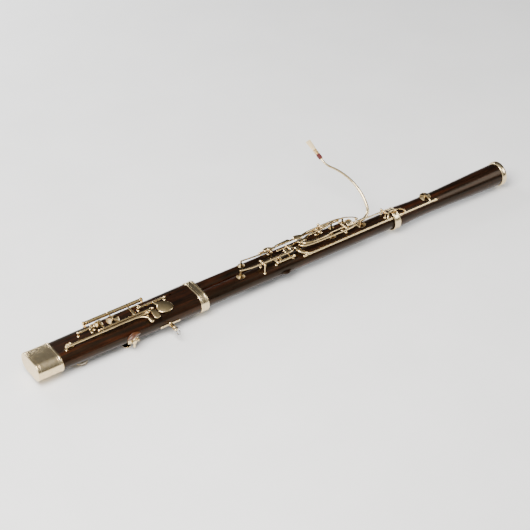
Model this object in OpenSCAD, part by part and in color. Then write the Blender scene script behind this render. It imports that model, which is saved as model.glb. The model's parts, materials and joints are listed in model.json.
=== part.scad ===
// Bassoon: boot, wing joint, long joint, bell, bocal and reed, with its keywork.
// +X runs from the boot cap to the bell, +Z is the thumb side and +Y is the wing joint's side.
// The origin is the centre of the boot cap's flat end.

/* [Boot joint] */
// Length of the boot with its cap
boot_len = 440; // [430:1:450]
// Distance between the two bores
bore_gap = 38; // [38:0.5:39]
// Outer radius of the boot's round sides at the cap end
boot_r_low = 20.5; // [20.3:0.1:20.8]
// Outer radius of the boot's round sides at the socket end
boot_r_high = 25; // [24.8:0.1:25.2]
// Length of the metal cap
cap_len = 62; // [55:1:66]

/* [Upper joints] */
// Length of the wing joint above the boot
wing_len = 455; // [450:1:460]
// Radius of the wing joint at its lower end
wing_r_low = 16.5; // [16.4:0.1:16.6]
// Radius of the wing joint at its upper end
wing_r_high = 15; // [14.9:0.1:15.1]
// Length of the long joint above the boot, without its bell tenon
long_len = 545; // [544:1:546]
// Radius of the long joint at its lower end
long_r_low = 20; // [19.9:0.1:20.1]
// Radius of the long joint at its upper end
long_r_high = 22; // [21.9:0.1:22.1]
// Length of the bell
bell_len = 360; // [345:1:365]

/* [Bocal and reed] */
// Angle of the bocal's plane above the plane of the two joints
bocal_turn = 35; // [25:1:45]
// Outer radius of the bocal at its cork end
bocal_r_low = 4.6; // [4.4:0.1:4.8]
// Outer radius of the bocal at its reed end
bocal_r_tip = 2.4; // [2.2:0.1:2.6]
// Length of the reed's cane blades
reed_len = 56; // [52:1:60]

/* [Keywork] */
// Outer radius of a key's hinge tube
tube_r = 2.6; // [2.5:0.1:2.7]
// Radius of a steel pivot rod
rod_r = 1.25; // [1.2:0.05:1.3]
// Radius of a post's ball head
ball_r = 3.4; // [3.2:0.1:3.5]
// Running clearance between a rod and the tube that turns on it
fit = 0.05; // [0.03:0.01:0.08]
// Thickness of a leather pad
pad_t = 2.6; // [2.4:0.1:2.8]

/* [Hidden] */

$fn = 64;
side_fn = 12;          // sides of a swept lever
spline_steps = 3;      // rings between two points of a swept lever
cut = 1;               // how far a cutting tool runs past a face
press = 0.05;          // gap between a fixed sleeve and what it sits on
flat_sink = 0.15;      // the boot's flats lie this far inside its round sides' top lines

wood = [0.17, 0.08, 0.05];
metal = [0.80, 0.69, 0.47];
steel = [0.62, 0.62, 0.62];
leather = [0.88, 0.84, 0.76];
cane = [0.84, 0.70, 0.42];
thread = [0.55, 0.12, 0.10];
cork = [0.72, 0.55, 0.36];
brown_wood = [0.45, 0.22, 0.09];

half_gap = bore_gap / 2;
wing_y = half_gap;
long_y = -half_gap;
wood_x = 43;                          // the boot's wood starts here, inside the cap
band_len = 20;
band_t = 1.2;                         // end plate of the boot band
boot_top = boot_len + band_t;         // where the upper joints' shoulders sit
wing_top = boot_len + wing_len;
long_top = boot_len + long_len;
bell_top = long_top + bell_len;
band_r = boot_r_high - 0.4;           // radius of the wood under the boot band

function boot_r(x) = boot_r_low + (boot_r_high - boot_r_low) * x / boot_len;
function wing_r(x) = wing_r_low + (wing_r_high - wing_r_low) * (x - boot_len) / wing_len;
function long_r(x) = long_r_low + (long_r_high - long_r_low) * (x - boot_len) / long_len;

// ---------- pads: [x, y, radius, height of the seat], on the thumb side unless named front ----------
b_flat_at = [184, 15.6, 9.2, 21.4];
f_sharp_at = [218, 11.6, 14.6, 21.2];
g_sharp_at = [96, -10, 9, 20.6];
low_f_at = [116, -17, 13, 20.0];      // front
a_flat_at = [166, 22, 8.5, 20.6];     // front
low_c_sharp_at = [545, -19, 9, 18.0];
low_d_at = [651, -19, 9, 18.5];
low_c_at = [812, -17, 9.5, 18.9];
low_b_at = [898, -19, 11, 18.4];
bell_at = [1098, -19, 13.5, 18.9];
c_sharp_at = [572, 19, 7.5, 14.0];
high_d_at = [751, 17, 7.5, 13.3];
high_a_at = [836, 19, 6.5, 13.4];
high_c_at = [870, 19, 6, 13.4];
nib_x = 913;
nib_top = bocal_r_low + 2.2;
nib_gap = 0.25;                        // between the closed whisper pad and the nib, which turns under it

// ---------- hinge axes: [y, z] for tubes along X, [x, z] for levers that rock on a cross rod ----------
b_flat_side_axis = [7.4, 31];
b_flat_axis = [-11.6, 31];
f_sharp_plate_axis = [6.5, 31];
f_sharp_axis = [36.5, 24];
g_sharp_axis = [-19.3, 31];
low_f_axis = [1, -31];
a_flat_axis = [11, -31];
bell_axis = [-41, 22];
low_d_axis = [-34, 29];
whisper_axis = [38, 12];
low_c_sharp_axis = [603, 38];
low_c_axis = [850, 34];
low_b_axis = [966, 34];
c_sharp_axis = [650, 30];
high_d_axis = [700, 20.5];
high_a_axis = [790, 30];
high_c_axis = [806, 30];

// ---------- how far the open-standing keys stand off their seats, in degrees ----------
bell_open = 8;
low_f_open = 10;
low_d_open = 10;
low_c_open = 3;
low_b_open = 1.9;
whisper_open = 7.5;

// ================= general shapes =================
// A cylinder or cone along +X, from x1 to x2, about the line through y and z.
module x_bar(x1, x2, r1, r2, y = 0, z = 0)
    translate([x1, y, z]) rotate([0, 90, 0]) cylinder(h = x2 - x1, r1 = r1, r2 = r2);

// A cylinder along +Y, from y1 to y2.
module y_bar(y1, y2, r, x, z)
    translate([x, y1, z]) rotate([-90, 0, 0]) cylinder(h = y2 - y1, r = r);

// A round bar from point a to point b.
module bar(a, b, r1, r2) {
    v = b - a;
    translate(a) rotate([0, acos(v[2] / norm(v)), atan2(v[1], v[0])])
        cylinder(h = norm(v), r1 = r1, r2 = r2);
}

// Two round sides joined by flats, along X.
module oval_bar(x1, x2, r1, r2, sink = flat_sink) {
    for (y = [wing_y, long_y]) x_bar(x1, x2, r1, r2, y);
    a = r1 - sink;
    b = r2 - sink;
    translate([0, wing_y, 0]) rotate([90, 0, 0]) linear_extrude(bore_gap)
        polygon([[x1, -a], [x2, -b], [x2, b], [x1, a]]);
}

// Moves its children as a key turns: about an X axis at [y, z], or about a Y axis at [x, z].
module swing_x(axis, angle)
    translate([0, axis[0], axis[1]]) rotate([angle, 0, 0]) translate([0, -axis[0], -axis[1]]) children();
module swing_y(axis, angle)
    translate([axis[0], 0, axis[1]]) rotate([0, angle, 0]) translate([-axis[0], 0, -axis[1]]) children();

// ================= swept levers =================
// A lever's outline is a list of [x, y, z, half width, half thickness].
function spline_point(a, b, c, d, t) =
    0.5 * (2 * b + (c - a) * t + (2 * a - 5 * b + 4 * c - d) * t * t + (3 * b - a - 3 * c + d) * t * t * t);
function spline(p, steps) = [
    for (i = [0 : len(p) - 2], k = [0 : steps - 1])
        spline_point(p[max(i - 1, 0)], p[i], p[i + 1], p[min(i + 2, len(p) - 1)], k / steps),
    p[len(p) - 1]];
function centre(p) = [p[0], p[1], p[2]];
function unit(v) = v / norm(v);
// Rings that round an end off: p is the end and dir points out of the lever.
function dome(p, dir) = [
    for (a = [35, 65, 85]) concat(centre(p) + dir * sin(a) * p[4], [p[3] * cos(a), p[4] * cos(a)])];
function reversed(v) = [for (i = [len(v) - 1 : -1 : 0]) v[i]];
function rings(p) = let (n = len(p) - 1,
    first = dome(p[0], unit(centre(p[0]) - centre(p[1]))),
    last = dome(p[n], unit(centre(p[n]) - centre(p[n - 1]))))
    concat(reversed(first), p, last);
function ring_points(p, i) = let (
    n = len(p) - 1,
    t = unit(centre(p[min(i + 1, n)]) - centre(p[max(i - 1, 0)])),
    s = unit(cross([0, 0, 1], t)),
    u = cross(t, s))
    [for (k = [0 : side_fn - 1]) let (a = 360 * k / side_fn)
        centre(p[i]) + s * p[i][3] * cos(a) + u * p[i][4] * sin(a)];

module sweep(outline) {
    p = rings(spline(outline, spline_steps));
    n = len(p);
    points = [for (i = [0 : n - 1]) each ring_points(p, i)];
    sides = [for (i = [0 : n - 2], k = [0 : side_fn - 1]) let (m = (k + 1) % side_fn)
        [i * side_fn + k, (i + 1) * side_fn + k, (i + 1) * side_fn + m, i * side_fn + m]];
    polyhedron(points = points, faces = concat(sides,
        [[for (k = [0 : side_fn - 1]) k]],
        [[for (k = [side_fn - 1 : -1 : 0]) (n - 1) * side_fn + k]]));
}

// ================= pads, cups and seats =================
cup_wall = 0.8;
pocket = 1.4;                          // how deep a pad sits in its cup
cup_t = 2.1;                           // height of a cup's straight wall
cup_rise = 1.1;                        // height of its turned cone
cup_cone_top = 0.3;                    // the cone's upper radius as a share of the pad's
cup_boss_r = 2.2;

// The cup over a pad at p, in its closed place, with a boss up to height top_z.
module cup(p, top_z) {
    base = p[3] + press + pad_t - pocket;
    difference() {
        union() {
            translate([p[0], p[1], base]) cylinder(h = cup_t, r = p[2] + cup_wall);
            translate([p[0], p[1], base + cup_t])
                cylinder(h = cup_rise, r1 = p[2] + cup_wall, r2 = p[2] * cup_cone_top);
            translate([p[0], p[1], base + cup_t]) cylinder(h = top_z - base - cup_t, r = cup_boss_r);
        }
        translate([p[0], p[1], base - cut]) cylinder(h = pocket + cut + press, r = p[2] + press);
    }
}
module pad(p) color(leather)
    translate([p[0], p[1], p[3] + press]) cylinder(h = pad_t, r = p[2]);
module front() mirror([0, 0, 1]) children();

seat_room = 1.4;                       // room in the seat around a cup
seat_h = 14;                           // how far the seat's cutter reaches out of the wood
// What a pad's seat and tone hole take out of the wood; hole is the tone hole's share of the pad's radius.
module seat(p, bore_y, hole = 0.5) {
    translate([p[0], p[1], p[3]]) cylinder(h = seat_h, r = p[2] + cup_wall + seat_room);
    bar([p[0], bore_y, 0], [p[0], p[1], p[3] + cut], p[2] * hole, p[2] * hole);
}

// ================= posts and rods =================
shank_r = 1.5;
shank_in = 4;                          // how far a post's shank goes into the wood
flange_r = 3.4;
flange_h = 2.2;
flange_in = 1.2;                       // how far its flange goes into the wood
drill_out = 9;                         // how far a rod's drill passes a post's centre

// A post whose ball head is at [x, y, z], standing on a round body of radius r about the line at axis_y.
module post(x, y, z, axis_y, r) {
    reach = norm([y - axis_y, z]);
    translate([x, axis_y, 0]) rotate([-atan2(y - axis_y, z), 0, 0]) {
        translate([0, 0, r - shank_in]) cylinder(h = reach - r + shank_in, r = shank_r);
        translate([0, 0, r - flange_in]) cylinder(h = flange_h, r = flange_r);
        translate([0, 0, reach]) sphere(r = ball_r);
    }
}
// The posts at the ends of a hinge tube along X, drilled for its rod, and the rod.
module x_posts(x1, x2, axis, axis_y, r) {
    difference() {
        for (x = [x1, x2]) post(x, axis[0], axis[1], axis_y, r);
        x_bar(x1 - drill_out, x2 + drill_out, rod_r + fit, rod_r + fit, axis[0], axis[1]);
    }
    x_bar(x1 - ball_r, x2 + ball_r, rod_r, rod_r, axis[0], axis[1]);
}
// The upright posts on both sides of a lever that rocks on a rod along Y, and the rod.
module y_posts(y1, y2, axis, axis_y, r) {
    difference() {
        for (y = [y1, y2]) post(axis[0], y, axis[1], y, sqrt(r * r - (y - axis_y) * (y - axis_y)));
        y_bar(y1 - drill_out, y2 + drill_out, rod_r + fit, axis[0], axis[1]);
    }
    y_bar(y1 - ball_r, y2 + ball_r, rod_r, axis[0], axis[1]);
}

end_gap = ball_r + 0.3;                // from a post's centre to the end of the tube next to it
// A key on a hinge tube between posts at x1 and x2: the tube joined to its children, bored for the rod.
module tube_key(x1, x2, axis, r = tube_r) color(metal)
    difference() {
        union() {
            x_bar(x1 + end_gap, x2 - end_gap, r, r, axis[0], axis[1]);
            children();
        }
        x_bar(x1, x2, rod_r + fit, rod_r + fit, axis[0], axis[1]);
    }
hub_r = 3.2;
// A lever that rocks on a cross rod between posts at y1 and y2, with its hub.
module rocker_key(y1, y2, axis, r = hub_r) color(metal)
    difference() {
        union() {
            y_bar(y1 + end_gap, y2 - end_gap, r, axis[0], axis[1]);
            children();
        }
        y_bar(y1, y2, rod_r + fit, axis[0], axis[1]);
    }

// ================= boot joint =================
wing_socket_r = 12.5;
long_socket_r = 16.5;
wing_socket_x = 404;
long_socket_x = 401;
u_bore_r = 9.8;
wing_bore_r = 7.2;                     // where the wing's bore meets the boot's
long_bore_r = 13;                      // where the boot's bore meets the long joint's
finger_holes_boot = [392, 357, 322];
finger_hole_r = 3.6;
thumb_hole_at = [372, 6];
thumb_hole_tilt = 20;
thumb_hole_r = 4;

module boot_joint() color(wood)
    difference() {
        union() {
            oval_bar(wood_x, boot_len - band_len, boot_r(wood_x), boot_r(boot_len - band_len));
            oval_bar(boot_len - band_len, boot_len, band_r, band_r);
        }
        x_bar(wood_x - cut, wing_socket_x + cut, u_bore_r, wing_bore_r, wing_y);
        x_bar(wing_socket_x, boot_len + cut, wing_socket_r, wing_socket_r, wing_y);
        x_bar(wood_x - cut, long_socket_x + cut, u_bore_r, long_bore_r, long_y);
        x_bar(long_socket_x, boot_len + cut, long_socket_r, long_socket_r, long_y);
        seat(b_flat_at, wing_y);
        seat(f_sharp_at, wing_y, 0.42);
        seat(g_sharp_at, long_y);
        front() seat(low_f_at, long_y);
        front() seat(a_flat_at, wing_y);
        for (x = finger_holes_boot)
            translate([x, wing_y, -boot_r_high - cut]) cylinder(h = boot_r_high + cut, r = finger_hole_r);
        translate([thumb_hole_at[0], thumb_hole_at[1], 0]) rotate([-thumb_hole_tilt, 0, 0])
            cylinder(h = boot_r_high * 1.3, r = thumb_hole_r);
    }

cap_wall = 1.3;
cap_gap = 0.4;                         // the wood tapers, so it only touches the cap near its mouth
cap_end_t = 1.6;
bore_sink = 0.1;                       // flats of a sleeve's inside
module boot_cap() color(metal) {
    inner_r = boot_r(cap_len) + cap_gap;
    difference() {
        oval_bar(0, cap_len, inner_r + cap_wall, inner_r + cap_wall);
        oval_bar(cap_end_t, cap_len + cut, inner_r, inner_r, bore_sink);
    }
}

flange_t = 2;
flange_half_h = 17;
u_wall = 1.1;
u_centre_x = wood_x - 1.5 * flange_t;  // the half torus ends inside the flange
// A half torus of tube radius r, from the flange toward the cap.
module u_bend(r)
    intersection() {
        translate([u_centre_x, 0, 0]) rotate_extrude() translate([half_gap, 0]) circle(r = r);
        translate([0, -bore_gap, -bore_gap]) cube([u_centre_x, 2 * bore_gap, 2 * bore_gap]);
    }
module u_tube() color(metal)
    difference() {
        union() {
            u_bend(u_bore_r + u_wall);
            oval_bar(wood_x - 2 * flange_t, wood_x - flange_t, flange_half_h, flange_half_h);
        }
        u_bend(u_bore_r - 0.1);        // a little smaller, so that its wall lies clear of the straight bore's
        for (y = [wing_y, long_y])
            x_bar(u_centre_x - 0.1, wood_x, u_bore_r, u_bore_r, y);
    }

module u_tube_gasket() color(cork)
    difference() {
        oval_bar(wood_x - flange_t + 0.02, wood_x - 0.02, flange_half_h, flange_half_h);
        for (y = [wing_y, long_y])
            x_bar(wood_x - 2 * flange_t, wood_x + cut, u_bore_r, u_bore_r, y);
    }

band_wall = 1.4;
module boot_band() color(metal)
    difference() {
        oval_bar(boot_len - band_len, boot_top, band_r + band_wall, band_r + band_wall);
        oval_bar(boot_len - band_len - cut, boot_len + press, band_r + press, band_r + press, bore_sink);
        x_bar(boot_len - cut, boot_top + cut, wing_socket_r, wing_socket_r, wing_y);
        x_bar(boot_len - cut, boot_top + cut, long_socket_r, long_socket_r, long_y);
    }

// ---------- the boot's keys ----------
b_flat_side_x = [127, 168];
b_flat_x = [170, 308];
g_sharp_x = [82, 291];
f_sharp_x = [157, 308];
f_sharp_plate_x = [282, 352];
low_f_x = [100, 250];
a_flat_x = [150, 272];
f_sharp_tube_r = 4.6;
lug_t = 5;

module boot_posts() color(metal) {
    x_posts(b_flat_side_x[0], b_flat_side_x[1], b_flat_side_axis, b_flat_side_axis[0], boot_r(150));
    x_posts(b_flat_x[0], b_flat_x[1], b_flat_axis, b_flat_axis[0], boot_r(240));
    x_posts(f_sharp_plate_x[0], f_sharp_plate_x[1], f_sharp_plate_axis, f_sharp_plate_axis[0], boot_r(320));
    x_posts(g_sharp_x[0], g_sharp_x[1], g_sharp_axis, g_sharp_axis[0], boot_r(190));
    x_posts(low_f_x[0], low_f_x[1], low_f_axis, low_f_axis[0], boot_r(180));
    x_posts(a_flat_x[0], a_flat_x[1], a_flat_axis, a_flat_axis[0], boot_r(210));
    for (x = f_sharp_x) lug(x);
    x_bar(f_sharp_x[0] - lug_t / 2, f_sharp_x[1] + lug_t / 2, rod_r, rod_r, f_sharp_axis[0], f_sharp_axis[1]);
}

// One of the two square lugs that carry the F sharp key's wide tube, with its screw head.
module lug(x) {
    lug_w = 8;
    stem_r = 2;
    screw_r = 2.2;
    screw_h = 0.9;
    slot_w = 0.7;
    slot_z = f_sharp_axis[1] + lug_w / 2 + 0.4;
    d = unit([0, f_sharp_axis[0] - wing_y, f_sharp_axis[1]]);
    difference() {
        union() {
            translate([x - lug_t / 2, f_sharp_axis[0] - lug_w / 2, f_sharp_axis[1] - lug_w / 2])
                cube([lug_t, lug_w, lug_w]);
            bar([x, wing_y, 0] + d * (boot_r(230) - shank_in), [x, f_sharp_axis[0], f_sharp_axis[1]],
                stem_r, stem_r);
        }
        x_bar(x - lug_t, x + lug_t, rod_r + fit, rod_r + fit, f_sharp_axis[0], f_sharp_axis[1]);
    }
    difference() {
        translate([x, f_sharp_axis[0], f_sharp_axis[1] + lug_w / 2]) cylinder(h = screw_h, r = screw_r);
        translate([x - 3, f_sharp_axis[0] - slot_w / 2, slot_z]) cube([6, slot_w, 1]);
    }
}

// The side touch that lifts the B flat pad through its L-shaped arm.
module b_flat_side_key()
    tube_key(b_flat_side_x[0], b_flat_side_x[1], b_flat_side_axis) {
        y = b_flat_side_axis[0];
        z = b_flat_side_axis[1];
        sweep([[155, y, z, 1.7, 1.5], [155, y - 6, z + 0.5, 2, 1.5], [155, y - 12, z - 0.2, 4, 2],
            [155, y - 15, z - 0.5, 3.6, 1.8]]);
        bar([161.5, y, z], [161.5, b_flat_at[1], z - 0.6], 1.3, 1.3);
        bar([160.2, b_flat_at[1], z - 0.6], [180, b_flat_at[1], z - 0.6], 1.3, 1.1);
    }

// The B flat key: plate touch, long hinge tube and small turned cup.
module b_flat_key()
    tube_key(b_flat_x[0], b_flat_x[1], b_flat_axis) {
        y = b_flat_axis[0];
        z = b_flat_axis[1];
        cup(b_flat_at, z + 3.6);
        sweep([[184, y, z + 0.4, 2, 1.6], [184, y + 9, z + 2.4, 1.6, 1.4],
            [184, b_flat_at[1], z + 2.8, 1.6, 1.3]]);
        sweep([[186, b_flat_at[1], z + 2.9, 2, 0.9], [180, b_flat_at[1], z + 2.5, 2, 0.8],
            [175, b_flat_at[1], z + 2.1, 1.8, 0.8]]);
        sweep([[262, y, z, 1.4, 1.5], [284, y - 0.6, z, 2, 1.8], [299, y - 3.4, z + 0.4, 3.2, 1.6],
            [304, y - 11, z, 5.6, 1.4], [305, y - 20, z - 1.6, 6.8, 1.3], [305, y - 27, z - 3.4, 6.8, 1.3]]);
    }

// The F sharp key: wide tube between two lugs, large turned cup, and the finger that its plate key lifts.
module f_sharp_key()
    tube_key(f_sharp_x[0] + lug_t / 2 - end_gap + 0.3, f_sharp_x[1] - lug_t / 2 + end_gap - 0.3,
            f_sharp_axis, f_sharp_tube_r) {
        y = f_sharp_axis[0];
        z = f_sharp_axis[1];
        cup(f_sharp_at, z + 4.6);
        sweep([[218, y, z + 3.4, 2.2, 1.5], [218, y - 12, z + 4.4, 1.7, 1.4],
            [218, f_sharp_at[1], z + 4, 1.7, 1.2]]);
        sweep([[267, y, z + 3, 2.2, 1.6], [267, y - 13, z + 3.6, 2.2, 1.6], [267, y - 27, z + 3.4, 3.4, 1.8],
            [267, y - 39, z + 2.6, 3.8, 1.8]]);
    }

// The plate key that lifts the F sharp key: large domed touch and an L-shaped arm under the finger.
module f_sharp_plate_key()
    tube_key(f_sharp_plate_x[0], f_sharp_plate_x[1], f_sharp_plate_axis) {
        y = f_sharp_plate_axis[0];
        z = f_sharp_plate_axis[1];
        arm_y = 23.3;
        arm_z = 24.6;
        bar([289, y, z], [289, arm_y, arm_z], 1.3, 1.3);
        bar([290.2, arm_y, arm_z], [266, arm_y, arm_z], 1.2, 1.1);
        sweep([[320, y, z, 2.4, 1.8], [326, y - 6, z + 1, 6, 2], [333, y - 16, z + 1.6, 16, 2.6],
            [335, y - 30, z, 18.5, 2.8], [335, y - 41, z - 3.6, 15.5, 2.2]]);
    }

// The G sharp key: the longest tube on the boot, with a curved spatula over the boot's edge.
module g_sharp_key()
    tube_key(g_sharp_x[0], g_sharp_x[1], g_sharp_axis) {
        y = g_sharp_axis[0];
        z = g_sharp_axis[1];
        cup(g_sharp_at, z - 0.6);
        bar([96, y, z], [96, g_sharp_at[1], z - 1.6], 1.7, 1.5);
        sweep([[250, y - 0.6, z, 1.5, 1.5], [268, y - 3, z, 2, 1.6], [279, y - 8, z - 0.4, 2.6, 1.8],
            [285, y - 17, z - 2.4, 3.6, 2], [288, y - 26, z - 5.4, 4.4, 2]]);
    }

// The low F key, on the front for the right little finger.
module low_f_key()
    swing_x(low_f_axis, low_f_open) tube_key(low_f_x[0], low_f_x[1], low_f_axis) {
        y = low_f_axis[0];
        z = low_f_axis[1];
        front() cup(low_f_at, -z + 0.4);
        bar([116, y, z], [116, low_f_at[1], z + 0.8], 1.7, 1.5);
        sweep([[208, y, z, 1.6, 1.5], [222, y - 3, z - 0.6, 3.4, 1.8], [230, y - 12, z - 1, 8, 1.7],
            [232, y - 24, z, 9, 1.6]]);
    }

// The A flat key, on the front beside the low F key.
module a_flat_key()
    tube_key(a_flat_x[0], a_flat_x[1], a_flat_axis) {
        y = a_flat_axis[0];
        z = a_flat_axis[1];
        front() cup(a_flat_at, -z + 0.4);
        bar([166, y, z], [166, a_flat_at[1], z + 0.8], 1.7, 1.5);
        sweep([[258, y, z, 1.8, 1.5], [261, y - 8, z - 0.8, 3.4, 1.7], [261, y - 18, z - 0.8, 6, 1.7],
            [259, y - 31, z + 0.4, 6.6, 1.6]]);
    }

// ---------- strap hanger and hand rest, on the boot's side ----------
hanger_x = 333;
hanger_y = long_y - boot_r(hanger_x);  // the wood's side
hanger_z = -5.5;
hanger_bar_x = hanger_x + 2;
side_screw_r = 1.8;
ring_wire = 1.5;
ring_r = 9;
ring_axis_y = hanger_y - 23.5;
// A plate screwed to the wood, a round bar standing out from it, and an eye for the strap's ring.
module strap_hanger() color(metal)
    difference() {
        union() {
            translate([hanger_bar_x - 26, hanger_y - 2.4, hanger_z - 2.5]) cube([52, 4, 5]);
            for (side = [-1, 1])
                y_bar(hanger_y - 2.6, hanger_y + 6, side_screw_r, hanger_bar_x + side * 20, hanger_z);
            y_bar(hanger_y - 20, hanger_y - 1, 4, hanger_bar_x, hanger_z);
            translate([hanger_bar_x - 4.5, ring_axis_y - 4.5, hanger_z - 3]) cube([9, 10, 6]);
        }
        translate([hanger_bar_x, ring_axis_y, hanger_z - 4.5]) cylinder(h = 10, r = ring_wire + 0.9);
    }
// The ring hangs in the hanger's eye, and is free to turn in it.
module strap_ring() color(steel)
    translate([hanger_bar_x, ring_axis_y - ring_r, hanger_z]) rotate([0, 90, 0])
        rotate_extrude() translate([ring_r, 0]) circle(r = ring_wire);

rest_x = 237;
rest_y = long_y - boot_r(rest_x);
rest_z = -9;
rest_rod_y = rest_y - 5;
rest_rod_r = 2.6;
rest_screw_r = 1.5;
rest_plate = [26, 3.4, 12];
rest_boss_r = 5.6;
module hand_rest_holder() color(metal)
    difference() {
        union() {
            translate([rest_x - rest_plate[0] / 2, rest_y - 1.2, rest_z - rest_plate[2] / 2])
                cube(rest_plate);
            y_bar(rest_y - 9, rest_y, rest_boss_r, rest_x, rest_z);
            for (x = [rest_x - 9.5, rest_x + 9.5]) y_bar(rest_y - 1.5, rest_y + 8, side_screw_r, x, rest_z);
        }
        translate([rest_x, rest_rod_y, rest_z - 10]) cylinder(h = 20, r = rest_rod_r + fit);
        x_bar(rest_x, rest_x + 8, rest_screw_r + fit, rest_screw_r + fit, rest_rod_y, rest_z);
    }
knob_r = 3.2;
knob_x = [rest_x + 9, rest_x + 13];
// The screw that grips the rod, with a knurled knob.
module hand_rest_screw() color(metal) {
    x_bar(rest_x + rest_rod_r + 0.15, knob_x[0], rest_screw_r, rest_screw_r, rest_rod_y, rest_z);
    difference() {
        x_bar(knob_x[0], knob_x[1], knob_r, knob_r, rest_rod_y, rest_z);
        for (a = [0 : 20 : 340])
            translate([0, rest_rod_y, rest_z]) rotate([a, 0, 0])
                x_bar(knob_x[0] - cut, knob_x[1] + cut, 0.5, 0.5, knob_r + 0.2);
    }
}
// The wooden crutch on its rod, which slides in the holder.
module hand_rest() {
    color(metal) translate([rest_x, rest_rod_y, rest_z - 16]) cylinder(h = 28, r = rest_rod_r);
    color(brown_wood) difference() {
        hull() {
            translate([rest_x - 13, rest_y - 11, rest_z + 18]) sphere(r = 5.5, $fn = 32);
            translate([rest_x + 13, rest_y - 7, rest_z + 17]) sphere(r = 3.5, $fn = 32);
            translate([rest_x - 8, rest_y - 3, rest_z + 24]) sphere(r = 3.5, $fn = 32);
            translate([rest_x + 9, rest_y - 3, rest_z + 22]) sphere(r = 3, $fn = 32);
        }
        translate([rest_x, rest_rod_y, rest_z - 16]) cylinder(h = 28 + press, r = rest_rod_r + press);
    }
}

// ================= wing joint =================
tenon_gap = 0.05;
wing_tenon_r = 11.6;
socket_r = 6.5;                        // the bocal's socket
socket_len = 28;
socket_band_len = 17;
socket_band_x = wing_top - socket_band_len;
socket_wood_r = wing_r_high - 0.6;     // radius of the wood under the socket band
finger_holes_wing = [575, 622, 669];
swell_x = [545, 705];                  // the swelling that the finger holes are drilled through
swell_r = 11;
swell_foot_r = 7.5;

module wing_joint() color(wood)
    difference() {
        union() {
            x_bar(wing_socket_x + 1, boot_top + cut, wing_tenon_r, wing_tenon_r, wing_y);
            x_bar(boot_top, socket_band_x, wing_r(boot_top), wing_r(socket_band_x), wing_y);
            x_bar(socket_band_x - cut, wing_top, socket_wood_r, socket_wood_r, wing_y);
            hull() for (end = [0, 1]) {
                translate([swell_x[end], wing_y, -4]) sphere(r = swell_r, $fn = 32);
                translate([swell_x[end] + (end == 0 ? 22 : -22), wing_y + 3, -19])
                    sphere(r = swell_foot_r, $fn = 32);
            }
        }
        x_bar(wing_socket_x, wing_top, wing_bore_r, bocal_r_low, wing_y);
        x_bar(wing_top - socket_len, wing_top + cut, socket_r, socket_r, wing_y);
        seat(c_sharp_at, wing_y, 0.45);
        seat(high_d_at, wing_y, 0.4);
        seat(high_a_at, wing_y, 0.35);
        seat(high_c_at, wing_y, 0.35);
        for (x = finger_holes_wing)
            bar([x + (x - finger_holes_wing[1]) * 0.35, wing_y, 0], [x, wing_y + 4, -30], 3, 3);
    }
module wing_tenon_wrap() color(thread)
    difference() {
        x_bar(wing_socket_x + 3, boot_len - 2, wing_socket_r - tenon_gap, wing_socket_r - tenon_gap, wing_y);
        x_bar(wing_socket_x, boot_len, wing_tenon_r, wing_tenon_r, wing_y);
    }
module wing_socket_band() color(metal) {
    band_x = socket_band_x + 0.02;
    outer_r = wing_r_high + 0.5;
    rim_r = wing_r_high + 0.9;
    difference() {
        union() {
            x_bar(band_x, wing_top + band_t, outer_r, outer_r, wing_y);
            for (x = [band_x, wing_top - 2]) x_bar(x, x + 2.4, rim_r, rim_r, wing_y);
        }
        x_bar(band_x - cut, wing_top, socket_wood_r + press, socket_wood_r + press, wing_y);
        x_bar(wing_top - cut, wing_top + 3, socket_r, socket_r, wing_y);
    }
}

c_sharp_y = [7, 19];
high_d_y = [7, 17];
high_a_y = [6, 18];
high_c_y = [18, 32];
whisper_x = [638, 870];
module wing_posts() color(metal) {
    y_posts(c_sharp_y[0], c_sharp_y[1], c_sharp_axis, wing_y, wing_r(650));
    y_posts(high_d_y[0], high_d_y[1], high_d_axis, wing_y, wing_r(700));
    y_posts(high_a_y[0], high_a_y[1], high_a_axis, wing_y, wing_r(790));
    y_posts(high_c_y[0], high_c_y[1], high_c_axis, wing_y, wing_r(805));
    x_posts(whisper_x[0], whisper_x[1], whisper_axis, wing_y, wing_r(760));
}

// The C sharp key: a tapering touch, a jog, and a straight lever to its cup.
module c_sharp_key()
    rocker_key(c_sharp_y[0], c_sharp_y[1], c_sharp_axis) {
        z = c_sharp_axis[1];
        cup(c_sharp_at, z);
        sweep([[c_sharp_at[0], c_sharp_at[1], z, 1.6, 1.5], [600, 16, z, 1.9, 1.7], [648, 13, z, 2.1, 1.9],
            [660, 13.6, z, 2.1, 1.9], [668, 18, z + 0.4, 2.3, 1.8], [676, 20.6, z + 0.4, 2.7, 1.8],
            [694, 21, z, 3.4, 1.9], [709, 21.4, z - 0.6, 4.3, 2]]);
    }
// The high D key: a thin low lever whose cup lies under the A and C levers.
module high_d_key()
    rocker_key(high_d_y[0], high_d_y[1], high_d_axis, 2.4) {
        z = high_d_axis[1];
        cup(high_d_at, z + 0.2);
        sweep([[high_d_at[0], high_d_at[1], z, 1.4, 1.2], [725, 13, z, 1.4, 1.2], [700, 12, z, 1.5, 1.3],
            [682, 11.8, z + 0.8, 1.9, 1.2], [671, 11.6, z + 1.2, 2.6, 1.2]]);
    }
// The high A key: an S-shaped lever whose spatula reaches over the gap between the joints.
module high_a_key()
    rocker_key(high_a_y[0], high_a_y[1], high_a_axis) {
        z = high_a_axis[1];
        cup(high_a_at, z);
        sweep([[high_a_at[0], high_a_at[1], z, 1.6, 1.5], [814, 13, z, 1.9, 1.7], [790, 12, z, 2.1, 1.9],
            [764, 11, z, 2.3, 2], [751, 6.5, z + 0.8, 3, 2.2], [740, 1.6, z + 1, 3.9, 2.4],
            [727, 0.8, z + 0.2, 4.2, 2.2]]);
    }
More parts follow.
